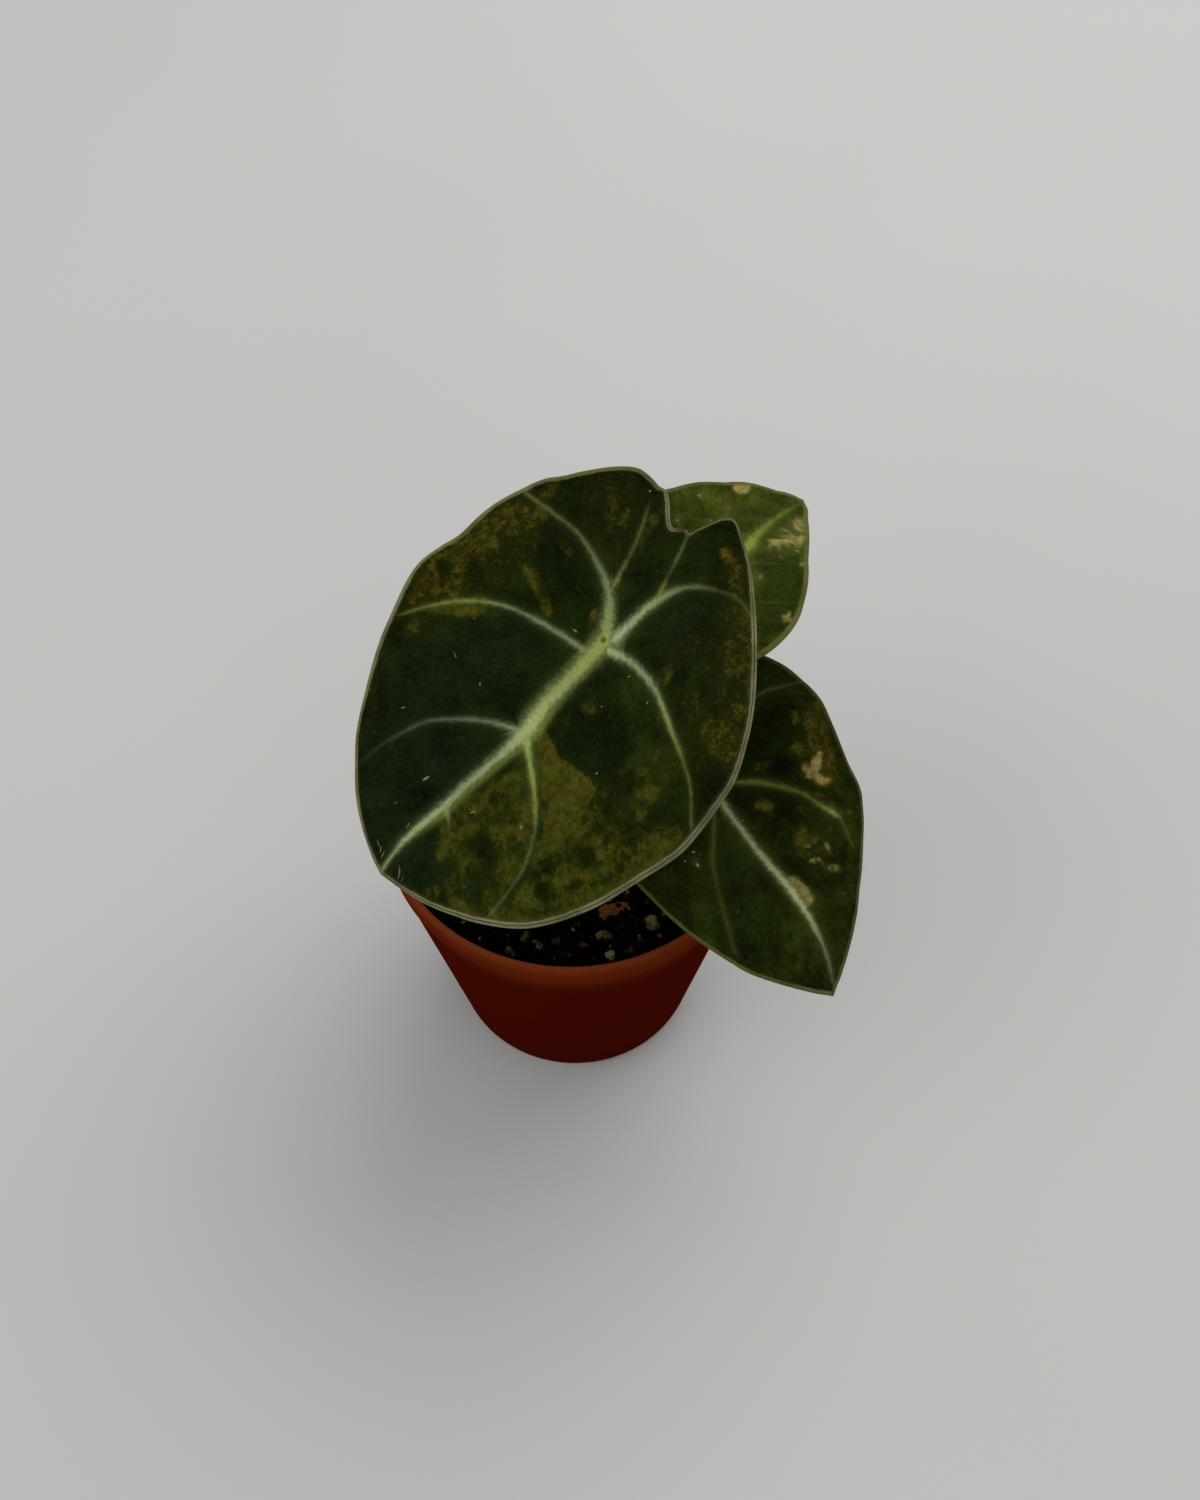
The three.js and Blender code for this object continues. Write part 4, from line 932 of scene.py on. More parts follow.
def velvet_material(name, base, cast, paint, sizes):
    """A blade: nap, variegated patches, ribbon veins, pale margin above; dull green below."""
    tree, shader, material = start_material(
        name, sizes.roughness, sizes.gloss, (sizes.sheen, sizes.sheen_spread, sizes.sheen_colour)
    )
    place, streaks = stored(tree, "place", "Vector"), stored(tree, "streaks", "Vector")
    velvet = placed(tree, "velvet_nap", {"Place": place, "Streaks": streaks})
    veins = placed(tree, "vein_ribbon", {
        "Side": stored(tree, "vein_side"), "Width": stored(tree, "vein_width"),
        "Gap": stored(tree, "vein_gap"), "Streaks": streaks, "Feather": 1.1,
    })
    burnt = placed(tree, "leaf_mottle", {
        "Density": stored(tree, "scorch"), "Place": place, "Streaks": streaks,
        "Scale": 2.2, "Raggedness": 1.9, "Rough": 0.7, "Wash": 0.2,
    })
    colour = ground_colour(place, velvet["Shade"], base, paint)
    colour = patch_colour(colour, place, streaks, paint)
    colour = tint(velvet["Glints"] * 0.08, colour, paint.vein)
    colour = vein_colour(colour, streaks, veins, cast, paint)
    colour = hub_colour(colour, place, streaks, veins["Ribbon"], paint)
    colour = margin_colour(colour, place, paint)
    colour = tint(burnt["Mask"] * 0.85, colour, paint.scorch)
    under = ease(stored(tree, "underside"), 0.55, 0.85)
    put(shader.inputs["Base Color"], tint(under, colour, underside_colour(place, paint)))
    raised = veins["Ribbon"] * stored(tree, "vein_strength")
    relief(shader, raised.scaled(0.5, velvet["Height"]), NAP_DEPTH)
    return material


# ---------------------------------------------------------------- the other finishes


def plastic_material(sizes):
    """Dull moulded plastic: fine matt skin, a lip lighter as wear and as a painted highlight, painted shade
    down the wall and on the inner wall, smears of mix inside and dust.
    """
    tree, shader, material = start_material("pot_plastic", sizes.roughness, 0.0)
    place = place_in_mm(tree)
    radius, height = from_axis(place)
    top = round(sizes.height / MM, 3)
    colour = shaded(sizes.colour, ease(grain(place, 0.09, 4.0), 0.25, 0.75, 0.88, 1.12))
    # Painted shade: the plastic darkens down the wall below the lip.
    colour = tint(ease(height, top - 0.1, top - 10), colour, sizes.shaded_wall_colour)
    # Wear and painted highlight: the top of the lip is lighter.
    rub_and_highlight = ease(height, top - 1.1, top - 0.1) * ease(grain(place, 0.5, 3.0), 0.2, 0.6, 0.6, 1.0)
    colour = tint(rub_and_highlight * 0.6, colour, sizes.rubbed_and_highlit)
    slope = (sizes.mouth_radius - sizes.floor_radius) / (sizes.height - sizes.floor_thickness)
    wall = height.scaled(slope, (sizes.floor_radius - slope * sizes.floor_thickness) / MM)
    inside = ease(radius - wall, 0.35, 0.2)
    # Painted shade: the inner wall darkens below the lip.
    colour = tint(ease(height, top - 0.2, top - 2.5) * inside, colour, sizes.inside)
    ragged = ease(grain(place, 0.8, 5.0, 0.7), 0.42, 0.58)
    smear = ease(height, top - 1.8, top - 4) * inside * ragged
    colour = tint(smear * 0.85, colour, sizes.smear)
    speck = placed(tree, "pitted_skin", {"Place": place, "Scale": 0.9})
    dust = speck["Pits"] * ease(grain(place, 0.06, 3.0, 0.5, 9.0), 0.5, 0.75)
    put(shader.inputs["Base Color"], tint(dust * 0.18, colour, sizes.smear))
    matt = ease(grain(place, 0.5, 4.0), 0.3, 0.7, sizes.roughness - 0.06, sizes.roughness + 0.1)
    put(shader.inputs["Roughness"], matt)
    relief(shader, grain(place, 4.0, 3.0), 0.000012)
    return material


def crumb_material(name, colour, light, scale, depth, roughness=0.9):
    """Dry crumbling stuff: two tones by crumb and by place, pits and a broken skin."""
    tree, shader, material = start_material(name, roughness, 0.02)
    place = place_in_mm(tree)
    broken = placed(tree, "pitted_skin", {"Place": place, "Scale": scale})
    mixed = stored(tree, "tone") + (grain(place, scale * 0.4, 4.0) - 0.5)
    tone = shaded(tint(ease(mixed, 0.2, 0.95), colour, light), broken["Shade"])
    put(shader.inputs["Base Color"], shaded(tone, ease(broken["Pits"], 0.0, 1.0, 1.0, 0.35)))
    relief(shader, broken["Height"], depth)
    return material


def stretched(place, stretch):
    """The place scaled so that noise on it is drawn out upwards."""
    return node(place.tree, "ShaderNodeMapping", {"Vector": place, "Scale": stretch})[0]


def stalk_material(sizes):
    """A smooth fleshy stalk: pale green, faint streaks along it and brown flecks low down."""
    tree, shader, material = start_material("stalk_skin", 0.42, 0.4)
    along, drawn = stored(tree, "along"), stretched(place_in_mm(tree), (2.4, 2.4, 0.25))
    colour = tint(ease(along, 0.0, 0.6), sizes.foot_colour, sizes.colour)
    colour = shaded(colour, ease(grain(drawn, 1.0, 4.0), 0.3, 0.7, 0.78, 1.2))
    fleck = ease(grain(drawn, 1.3, 3.0, 0.6, 4.0), 0.56, 0.66) * ease(along, 0.7, 0.05)
    put(shader.inputs["Base Color"], tint(fleck * 0.65, colour, sizes.fleck))
    relief(shader, grain(drawn, 1.4, 3.0), 0.00005)
    return material


def sheath_material(sizes):
    """A papery sheath: green low down, dry and brown at its free edge, ribbed along."""
    tree, shader, material = start_material("sheath_paper", 0.6, 0.3)
    place = place_in_mm(tree)
    drawn = stretched(place, (3.0, 3.0, 0.2))
    dry = stored(tree, "tone") + (grain(place, 0.7, 4.0) - 0.5)
    colour = tint(ease(dry, 0.35, 0.9), sizes.sheath_green, sizes.light)
    colour = shaded(colour, ease(grain(drawn, 1.0, 4.0), 0.3, 0.7, 0.7, 1.2))
    put(shader.inputs["Base Color"], colour)
    relief(shader, grain(drawn, 1.2, 3.0), 0.0001)
    return material


# ---------------------------------------------------------------- pot


def pot_inner(sizes, height):
    """The pot's inner radius at that height."""
    share = (height - sizes.floor_thickness) / (sizes.height - sizes.floor_thickness)
    return sizes.floor_radius + (sizes.mouth_radius - sizes.floor_radius) * share


def pot_profile(sizes):
    """The cup's outline, from the middle of its floor up, over the lip and down to its foot."""
    floor, mouth = sizes.floor_thickness, sizes.mouth_radius
    rim, top = sizes.rim_radius, sizes.height
    foot, collar = pot_inner(sizes, 0) + sizes.wall, sizes.height - sizes.collar
    return rounded(
        [
            (0, floor), (sizes.floor_radius, floor), (mouth - LIP_FLARE, top - LIP_DEPTH), (mouth, top),
            (rim - LIP_WIDTH, top), (rim, top - LIP_DROP), (rim - COLLAR_DRAFT, collar + COLLAR_BEVEL),
            (pot_inner(sizes, collar) + sizes.wall, collar), (foot, FOOT_RISE), (foot - FOOT_BEVEL, 0),
            (foot - FOOT_WIDTH + FOOT_BEVEL, 0), (foot - FOOT_WIDTH, FOOT_HOLLOW), (0, FOOT_HOLLOW),
        ],
        POT_ROUNDING,
    )


def drain_cutter(sizes):
    """The ring of cylinders that cuts the drain holes through the floor."""
    mesh = bpy.data.meshes.new("drain_cutter")
    cutter = bmesh.new()
    for hole in range(sizes.drain_holes):
        angle = 2 * math.pi * hole / sizes.drain_holes
        made = bmesh.ops.create_cone(
            cutter, cap_ends=True, segments=32, radius1=sizes.drain_radius, radius2=sizes.drain_radius,
            depth=sizes.floor_thickness * 4,
        )
        where = Vector((math.cos(angle), math.sin(angle), 0)) * sizes.drain_circle
        bmesh.ops.translate(cutter, verts=made["verts"], vec=where)
    cutter.to_mesh(mesh)
    cutter.free()
    return piece_from("drain_cutter", mesh)


def build_pot(sizes):
    """The cup with its collar, rolled lip, foot ring and drain holes."""
    shell = piece_from("pot_shell", turned("pot_shell", pot_profile(sizes), POT_SPOKES))
    drill = drain_cutter(sizes)
    modifier = shell.modifiers.new("drains", "BOOLEAN")
    modifier.operation, modifier.solver, modifier.object = "DIFFERENCE", "EXACT", drill
    mesh = settle(shell)
    bpy.data.objects.remove(drill)
    mesh.shade_smooth()
    mesh.set_sharp_from_angle(angle=math.radians(50))
    cover(mesh, plastic_material(sizes))
    fit(shell, "pot", "pot")


# ---------------------------------------------------------------- potting mix and grit


def soil_height(x, y):
    """Height of the mix at a place, all in millimetres."""
    swell = SOIL_SWELL * math.sin(0.45 * x + 1.3) * math.cos(0.5 * y)
    return SOIL_HEIGHT + swell + SOIL_RIPPLE * math.sin(1.1 * x + 0.8 * y)


def chance(tree, low, high, seed, kind="FLOAT"):
    """A random number or vector between low and high, by chance of that seed."""
    first = 0 if kind == "FLOAT_VECTOR" else 2
    inputs = {first: low, first + 1: high, "Seed": seed}
    return node(tree, "FunctionNodeRandomValue", inputs, data_type=kind)[first // 2]


def crumpled(tree, geometry, scale, push):
    """The geometry made into plain meshes, each point pushed by noise of that scale."""
    real = node(tree, "GeometryNodeRealizeInstances", {"Geometry": geometry})[0]
    where = node(tree, "GeometryNodeInputPosition")[0]
    rough = node(tree, "ShaderNodeTexNoise", {"Vector": where, "Scale": scale, "Detail": 1.0})["Color"]
    offset = vectors("SCALE", vectors("SUBTRACT", rough, (0.5, 0.5, 0.5)), Scale=push)
    return node(tree, "GeometryNodeSetPosition", {"Geometry": real, "Offset": offset})[0]


def scatter_tree():
    """Crumbs strewn on the top faces inside a radius, each turned, sized and toned by chance."""
    tree, given, out = start_group(
        "strewn_crumbs", "GeometryNodeTree",
        (("Geometry", "Geometry", None), ("Spacing", "Float", 0.001), ("Radius", "Float", 0.02),
         ("Smallest", "Float", 0.0002), ("Largest", "Float", 0.0006), ("Seed", "Int", 1),
         ("Material", "Material", None)),
        (("Geometry", "Geometry"),),
    )
    away = from_axis(node(tree, "GeometryNodeInputPosition")[0])[0]
    up = node(tree, "ShaderNodeSeparateXYZ", {0: node(tree, "GeometryNodeInputNormal")[0]})["Z"]
    top = maths("GREATER_THAN", up, 0.4) * maths("LESS_THAN", away, given["Radius"])
    points = node(
        tree, "GeometryNodeDistributePointsOnFaces",
        {"Mesh": given["Geometry"], "Selection": top, "Distance Min": given["Spacing"],
         "Density Max": 3e6, "Seed": given["Seed"]},
        distribute_method="POISSON",
    )["Points"]
    ball = node(tree, "GeometryNodeMeshIcoSphere", {"Radius": 1.0, "Subdivisions": 1})["Mesh"]
    size = chance(tree, given["Smallest"], given["Largest"], given["Seed"])
    squash = chance(tree, (0.7, 0.7, 0.5), (1.4, 1.2, 0.9), 3, "FLOAT_VECTOR")
    spin = chance(tree, (0, 0, 0), (6.28, 6.28, 6.28), 5, "FLOAT_VECTOR")
    strewn = node(
        tree, "GeometryNodeInstanceOnPoints",
        {"Points": points, "Instance": ball, "Rotation": spin, "Scale": vectors("SCALE", squash, Scale=size)},
    )[0]
    toned = node(
        tree, "GeometryNodeStoreNamedAttribute",
        {"Geometry": strewn, "Name": "tone", "Value": chance(tree, 0.0, 1.0, 7)},
        data_type="FLOAT", domain="INSTANCE",
    )[0]
    bent = crumpled(tree, toned, 2500.0, given["Smallest"])
    looks = {"Geometry": bent, "Material": given["Material"]}
    put(out["Geometry"], node(tree, "GeometryNodeSetMaterial", looks)[0])
    return tree


def mix_mesh(sizes, pot):
    """The lump of mix: waves and lumps on top, then down along the wall to the floor."""
    unit = unit_circle(MIX_SPOKES)
    rings = []
    for reach in np.linspace(MIX_FIRST_RING, MIX_LAST_RING, MIX_RINGS):
        ring = []
        for x, y in unit * reach:
            lump = noise.noise(Vector((x, y, 3)) * 0.5) * 0.6 + noise.noise(Vector((x, y, 8)) * 1.5) * 0.45
            ring.append((x * MM, y * MM, (soil_height(x, y) + lump * sizes.lumps / MM + 0.1) * MM))
        rings.append(np.array(ring))
    base = pot.floor_thickness + 0.0001
    for height in (*MIX_SIDE_HEIGHTS, base):
        reach = pot_inner(pot, height) - MIX_WALL_GAP
        rings.append(np.column_stack([unit * reach, np.full(MIX_SPOKES, height)]))
    mesh = skin("potting_mix", rings, (0, 0, soil_height(0, 0) * MM), (0, 0, base))
    store(mesh, "tone", np.full(len(mesh.vertices), 0.3))
    return mesh


def build_soil(sizes, pot):
    """The lump of mix that fills the pot, and the crumbs that lie loose on it."""
    mesh, tree = mix_mesh(sizes, pot), scatter_tree()
    dirt = crumb_material("mix_surface", sizes.colour, sizes.light, 1.6, 0.0005)
    fit(piece_from("potting_mix", mesh, dirt), "soil", "soil")
    dark, pale = (sizes.colour, sizes.light), (sizes.mineral, sizes.mineral_light)
    for name, look, colours, finish, spread, radius, largest, seed in (
        ("mix_crumbs", "mix_crumb", dark, "soil", 1, 0.0245, 1, 11),
        ("mineral_crumbs", "mineral_crumb", pale, "pumice", 3.2, 0.024, 0.7, 23),
    ):
        crumbs = grow(
            piece_from(name, mesh.copy()), tree, spacing=sizes.spacing * spread, radius=radius,
            smallest=sizes.smallest, largest=sizes.largest * largest, seed=seed,
            material=crumb_material(look, *colours, 2.2, 0.0002),
        )
        fit(crumbs, finish)


def rough_grain(node_name, piece_name, material, finish, depth, scale, seed, tone):
    """A copy of a CAD grain, made finer and then knocked out of round."""
    work = bmesh.new()
    work.from_mesh(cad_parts[node_name].data)
    bmesh.ops.remove_doubles(work, verts=work.verts, dist=1e-6)
    mesh = bpy.data.meshes.new(piece_name)
    work.to_mesh(mesh)
    work.free()
    piece = piece_from(piece_name, mesh)
    modifier = piece.modifiers.new("fine", "SUBSURF")
    modifier.levels = modifier.render_levels = GRAIN_LEVELS
    mesh = settle(piece)
    shift = Vector((seed * 7.1, seed * 3.3, 0))
    moves = []
    for vertex in mesh.vertices:
        place = vertex.co / MM * scale + shift
        swell = noise.noise(place) + 0.5 * noise.noise(place * 2.3)
        pit = max(0.0, 0.45 - noise.voronoi(place * 1.9)[0][0]) * 1.6
        moves.append(vertex.co + vertex.normal * (swell - pit) * depth)
    for vertex, place in zip(mesh.vertices, moves):
        vertex.co = place
    mesh.shade_smooth()
    store(mesh, "tone", np.full(len(mesh.vertices), tone))
    cover(mesh, material)
    fit(piece, finish, node_name)


def build_grit(sizes):
    """The pumice and bark that lie half sunk in the mix."""
    pumice = crumb_material("pumice_stone", sizes.pumice, sizes.pumice_light, 1.7, 0.0004)
    bark = crumb_material("bark_chip", sizes.bark, sizes.bark_light, 1.2, 0.0003)
    kinds = {
        "pumice": (pumice, 0.00022, 1.1, 0, PUMICE_TONES),
        "bark": (bark, 0.00018, 0.9, 40, BARK_TONES),
    }
    for name in sorted(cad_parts):
        kind, _, number = name.partition("_")
        if kind in kinds:
            look, depth, scale, shift, tones = kinds[kind]
            order = int(number)
            tone = tones[order - 1] if order <= len(tones) else HIDDEN_TONE
            rough_grain(name, f"grit_{kind}_{number}", look, kind, depth, scale, order + shift, tone)


# ---------------------------------------------------------------- crown and stalks


def build_stem(sizes):
    """The short ringed stem."""
    low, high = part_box("crown")
    radius = (high.x - low.x) / 2
    rings = []
    for share in np.linspace(1, 0, STEM_RINGS):
        height = low.z + (high.z - low.z) * share
        foot, top = float(fade(share, 0, 0.25)), float(fade(share, 0.72, 1.0))
        reach = radius * (0.8 + 0.2 * foot) * (1 - 0.55 * top)
        ring = []
        for angle in np.linspace(0, 2 * math.pi, STEM_SPOKES, endpoint=False):
            scar = 0.00022 * math.sin(height / MM * 4.2 + 0.8 * math.sin(2 * angle))
            lump = 0.0003 * noise.noise(Vector((math.cos(angle) * 2, math.sin(angle) * 2, height * 400)))
            spread = reach + scar + lump
            ring.append((spread * math.cos(angle), spread * math.sin(angle), height))
        rings.append(np.array(ring))
    mesh = skin("crown_stem", rings, (0, 0, high.z), (0, 0, low.z))
    store(mesh, "tone", np.full(len(mesh.vertices), 0.5))
    bark = crumb_material("crown_bark", sizes.colour, sizes.light, 0.8, 0.00025, 0.7)
    fit(piece_from("crown_stem", mesh, bark), "crown", "crown")


def build_sheath(key, blade, sizes, paper):
    """The dry sheath that clasps the foot of one stalk, lower towards its two free edges."""
    foot = math.radians(blade["foot_angle"])
    centre = Vector((math.cos(foot), math.sin(foot), 0)) * (FOOT_OFFSET * MM)
    places = []
    for share in np.linspace(0, 1, SHEATH_ROWS):
        for side in np.linspace(-1, 1, SHEATH_COLUMNS):
            angle = foot + side * SHEATH_WRAP
            crease = noise.noise(Vector((side * 3, share * 3, blade["foot_angle"])))
            reach = sizes.sheath_radius * (1.0 + 0.16 * share) + 0.00035 * share * crease
            height = SHEATH_FOOT + sizes.sheath_height * share * (1 - 0.62 * abs(side) ** 1.6)
            places.append((centre.x + reach * math.cos(angle), centre.y + reach * math.sin(angle), height))
    mesh = bpy.data.meshes.new("sheath_" + key)
    faces = [
        (at, at + 1, at + 1 + SHEATH_COLUMNS, at + SHEATH_COLUMNS)
        for at in range((SHEATH_ROWS - 1) * SHEATH_COLUMNS)
        if (at + 1) % SHEATH_COLUMNS
    ]
    mesh.from_pydata(places, [], faces)
    store(mesh, "tone", np.repeat(np.linspace(0, 1, SHEATH_ROWS), SHEATH_COLUMNS))
    sheath = piece_from("sheath_" + key, mesh)
    modifier = sheath.modifiers.new("papery", "SOLIDIFY")
    modifier.thickness, modifier.offset = sizes.sheath_thickness, 1.0
    mesh = settle(sheath)
    mesh.shade_smooth()
    cover(mesh, paper)
    fit(sheath, "crown")


def build_crown(sizes):
    """The short ringed stem, and the dry sheaths that clasp the feet of the stalks."""
    build_stem(sizes)
    paper = sheath_material(sizes)
    for key, blade in BLADES.items():
        build_sheath(key, blade, sizes, paper)


def blade_turn(blade):
    """How the blade's own frame is turned."""
    turns = [math.radians(blade[key]) for key in ("roll", "droop", "heading")]
    return Euler(turns, "XYZ").to_matrix()


def stalk_tree():
    """A fleshy tube along an edge path: thick at its foot, flared where it meets the blade."""
    tree, given, out = start_group(
        "fleshy_stalk", "GeometryNodeTree",
        (("Geometry", "Geometry", None), ("Foot", "Float", 0.0019), ("Neck", "Float", 0.0012),
         ("Head", "Float", 0.0018), ("Sides", "Int", STALK_SIDES), ("Steps", "Int", STALK_RINGS),
         ("Material", "Material", None)),
        (("Geometry", "Geometry"),),
    )
    path = node(tree, "GeometryNodeMeshToCurve", {0: given["Geometry"]})[0]
    path = node(tree, "GeometryNodeResampleCurve", {"Curve": path, "Count": given["Steps"]})[0]
    along = node(tree, "GeometryNodeSplineParameter")["Factor"]
    path = node(
        tree, "GeometryNodeStoreNamedAttribute", {"Geometry": path, "Name": "along", "Value": along},
        data_type="FLOAT", domain="POINT",
    )[0]
    taper = ease(along, 0.0, 0.4, given["Foot"], given["Neck"])
    size = ease(along, 0.9, 1.0).scaled(given["Head"] - given["Neck"], taper)
    ring = node(tree, "GeometryNodeCurvePrimitiveCircle", {"Resolution": given["Sides"], "Radius": 1.0})[0]
    tube = node(
        tree, "GeometryNodeCurveToMesh",
        {"Curve": path, "Profile Curve": ring, "Scale": size, "Fill Caps": True},
    )[0]
    real = node(tree, "GeometryNodeRealizeInstances", {"Geometry": tube})[0]
    looks = {"Geometry": real, "Material": given["Material"]}
    put(out["Geometry"], node(tree, "GeometryNodeSetMaterial", looks)[0])
    return tree


def build_stalks(sizes):
    """One stalk for each blade, from the crown up into the blade's hub."""
    tree, flesh = stalk_tree(), stalk_material(sizes)
    for key, blade in BLADES.items():
        angle = math.radians(blade["foot_angle"])
        foot = Vector((math.cos(angle) * FOOT_OFFSET, math.sin(angle) * FOOT_OFFSET, STALK_FOOT))
        up = blade_turn(blade).col[2]
        head = Vector(blade["hub"]) - up * STALK_SINK
        pull, neck = foot + Vector((0, 0, STALK_RISE)), head - up * STALK_NECK
        path = []
        for step in range(STALK_STEPS + 1):
            t = step / STALK_STEPS
            low = foot * (1 - t) ** 3 + pull * 3 * t * (1 - t) ** 2
            path.append((low + neck * 3 * t * t * (1 - t) + head * t**3) * MM)
        mesh = bpy.data.meshes.new("stalk_" + key)
        mesh.from_pydata(path, [(step, step + 1) for step in range(STALK_STEPS)], [])
        stalk = grow(
            piece_from("stalk_" + key, mesh), tree, foot=sizes.foot, neck=sizes.neck, head=sizes.head,
            sides=STALK_SIDES, steps=STALK_RINGS, material=flesh,
        )
        stalk.data.shade_smooth()
        fit(stalk, "petiole", "petiole_" + key)


# ---------------------------------------------------------------- blades


def patches(flat, blobs):
    """How strongly each flat place is covered by the oval patches."""
    cover_of = np.zeros(len(flat))
    for x, y, long, wide, turn, *strength in blobs:
        angle = math.radians(turn)
        dx, dy = flat[:, 0] - x, flat[:, 1] - y
        along = (dx * math.cos(angle) + dy * math.sin(angle)) / long
        across = (dy * math.cos(angle) - dx * math.sin(angle)) / wide
        weight = strength[0] if strength else PLAIN_BLOB
        cover_of = np.maximum(cover_of, weight * fade(np.hypot(along, across), 1.7, 0.3))
    return cover_of


def zone(flat, corners, soft):
    """1 inside the zone with these corners, 0 outside, eased over its edge."""
    ring = np.array(corners + corners[:1], float)
    inside = np.zeros(len(flat), bool)
    for (x0, y0), (x1, y1) in zip(ring, ring[1:]):
        level = (y0 > flat[:, 1]) != (y1 > flat[:, 1])
        inside ^= level & (flat[:, 0] < (x1 - x0) * (flat[:, 1] - y0) / (y1 - y0 or 1) + x0)
    gap = gap_to_path(flat, ring)[0]
    return fade(np.where(inside, gap, -gap), -soft, soft)


def small_veins(blade):
    """Paths of the side veins that leave each main vein at a slant and bend towards its tip."""
    found = []
    for rows in blade["veins"][:BRANCHED_VEINS]:
        path = smooth_path(rows, BRANCH_STOPS)[:, :2]
        run = float(np.linalg.norm(np.diff(path, axis=0), axis=1).sum())
        for stop in np.arange(BRANCH_SPACING, run - 1.5, BRANCH_SPACING):
            index = min(int(stop / run * BRANCH_STOPS), BRANCH_STOPS - 1)
            ahead = path[index + 1] - path[index]
            course = math.atan2(ahead[1], ahead[0])
            half = min(9.0, 3 + 0.35 * (run - stop)) * 0.5
            for side in (-1, 1):
                bends = [path[index]]
                for turn in BRANCH_TURNS:
                    way = course + side * math.radians(turn)
                    bends.append(bends[-1] + half * np.array([math.cos(way), math.sin(way)]))
                found.append(smooth_path(bends, 6))
    return found


def vein_facts(blade, flat):
    """The nearest vein's gap, side, width, yellowness and strength at each flat place."""
    facts = {"vein_gap": np.full(len(flat), FAR), "line_gap": np.full(len(flat), FAR)}
    for key in ("vein_side", "vein_width", "vein_yellow", "vein_strength"):
        facts[key] = np.zeros(len(flat))
    for rows in blade["veins"]:
        path = smooth_path(rows, 8 * len(rows))
        gap, along, side = gap_to_path(flat, path[:, :2])
        stops = np.linspace(0, 1, len(path))
        width, yellow, strength = (np.interp(along, stops, path[:, column]) for column in (2, 3, 4))
        if rows is blade["veins"][0]:
            beside = gap * side - width
            facts["flank"] = blade["flank"] * fade(beside, -0.5, 0) * fade(beside, 1.3, 0.2)
            facts["flank"] *= fade(flat[:, 0], 6, 12) * fade(flat[:, 0], 36, 30)
        facts["line_gap"] = np.minimum(facts["line_gap"], gap)
        nearer = gap - width < facts["vein_gap"]
        for key, value in (
            ("vein_gap", gap - width), ("vein_side", gap * side), ("vein_width", width),
            ("vein_yellow", yellow), ("vein_strength", strength),
        ):
            facts[key][nearer] = value[nearer]
    return facts


def blade_facts(blade, flat):
    """Everything the blade's shape and paint need to know at each flat place."""
    facts = vein_facts(blade, flat)
    facts["minor_gap"] = np.full(len(flat), FAR)
    for path in small_veins(blade):
        facts["minor_gap"] = np.minimum(facts["minor_gap"], gap_to_path(flat, path)[0])
    for label in BLOBS:
        facts[label] = patches(flat, blade.get(label, ()))
    for label, weight, soft, corners in blade["zones"]:
        facts[label] = np.maximum(facts[label], weight * zone(flat, corners, soft))
    clear = 1 - patches(flat, blade.get("gaps", ()))
    facts["olive"], facts["ochre"] = facts["olive"] * clear, facts["ochre"] * clear
    x, out = flat[:, 0], np.abs(flat[:, 1])
    across = x * math.sin(NAP_SLANT) - out * math.cos(NAP_SLANT)
    along = x * math.cos(NAP_SLANT) + out * math.sin(NAP_SLANT)
    facts["streaks"] = np.column_stack([across, along * (1 - 0.5 * fade(x, -6, 1)), np.sign(flat[:, 1]) * 4])
    facts["place"] = np.column_stack([flat, np.zeros(len(flat))])
    return facts


def upper_height(blade, flat, reach, facts):
    """Height of the blade's upper face over its own frame."""
    x, y = flat[:, 0], flat[:, 1]
    across, to_tip, to_back = blade["arch"]
    size, count, phase = blade["wave"]
    fold = blade["fold"] * (np.hypot(y, FOLD_SOFTNESS) - FOLD_SOFTNESS)
    arch = across * y**2 + np.where(x > 0, to_tip, to_back) * x**2
    swell = 0.5 * (1 - np.exp(-((facts["line_gap"] / 3) ** 2)))
    quilt = 0.07 * (1 - np.exp(-((facts["minor_gap"] / 0.9) ** 2))) * fade(facts["line_gap"], 0, 1.5)
    wave = size * reach**3 * np.sin(count * np.arctan2(y, x) + phase)
    return fold - arch + swell + quilt + wave


def blade_layer(blade, outline, shares, bead):
    """A face's flat places, hub last, with their reach, edge gap, facts and upper height."""
    inner, to_edge = outline
    flat = np.vstack([(shares[:, None, None] * inner[None]).reshape(-1, 2), np.zeros((1, 2))])
    reach = np.append(np.repeat(shares, len(inner)), 0.0)
    edge = np.append(((1 - shares[:, None]) * to_edge[None]).ravel() + bead, HUB_EDGE_GAP)
    facts = blade_facts(blade, flat)
    height = upper_height(blade, flat, reach, facts) + 0.08 * np.exp(-(((edge - 0.6) / 0.45) ** 2))
    return flat, reach, edge, facts, height


def lower_height(layer, sizes, bead):
    """Height of the underside: the blade's thickness, its ribs and the swelling at the hub."""
    flat, reach, edge, facts, top = layer
    thick = sizes.thickness / MM
    rib = sizes.rib / MM * np.exp(-((facts["line_gap"] / 0.7) ** 2)) * (1 - 0.75 * reach)
    small = 0.12 * np.exp(-((facts["minor_gap"] / 0.4) ** 2)) * (1 - reach**2)
    depth = thick + rib + small + (2 * bead - thick) * fade(edge, 2.4, 0.6)
    return top - depth - 0.5 * np.exp(-((np.hypot(flat[:, 0], flat[:, 1]) / 2.2) ** 2))


def beaded_edge(inner, outward, bead, high, low):
    """Rings round the rolled margin, with the edge gap and the share of underside of each."""
    rings, edge, under = [], [], []
    for turn in np.radians(np.linspace(90, -90, BEAD_STEPS + 1)[1:-1]):
        level = (high + low) / 2 + (high - low) / 2 * math.sin(turn)
        rings.append(np.column_stack([inner + outward * bead * math.cos(turn), level]))
        edge.append(np.full(len(inner), bead * (1 - math.cos(max(turn, 0.0)))))
        under.append(np.full(len(inner), 0.5 - 0.5 * math.sin(turn)))
    return rings, edge, under


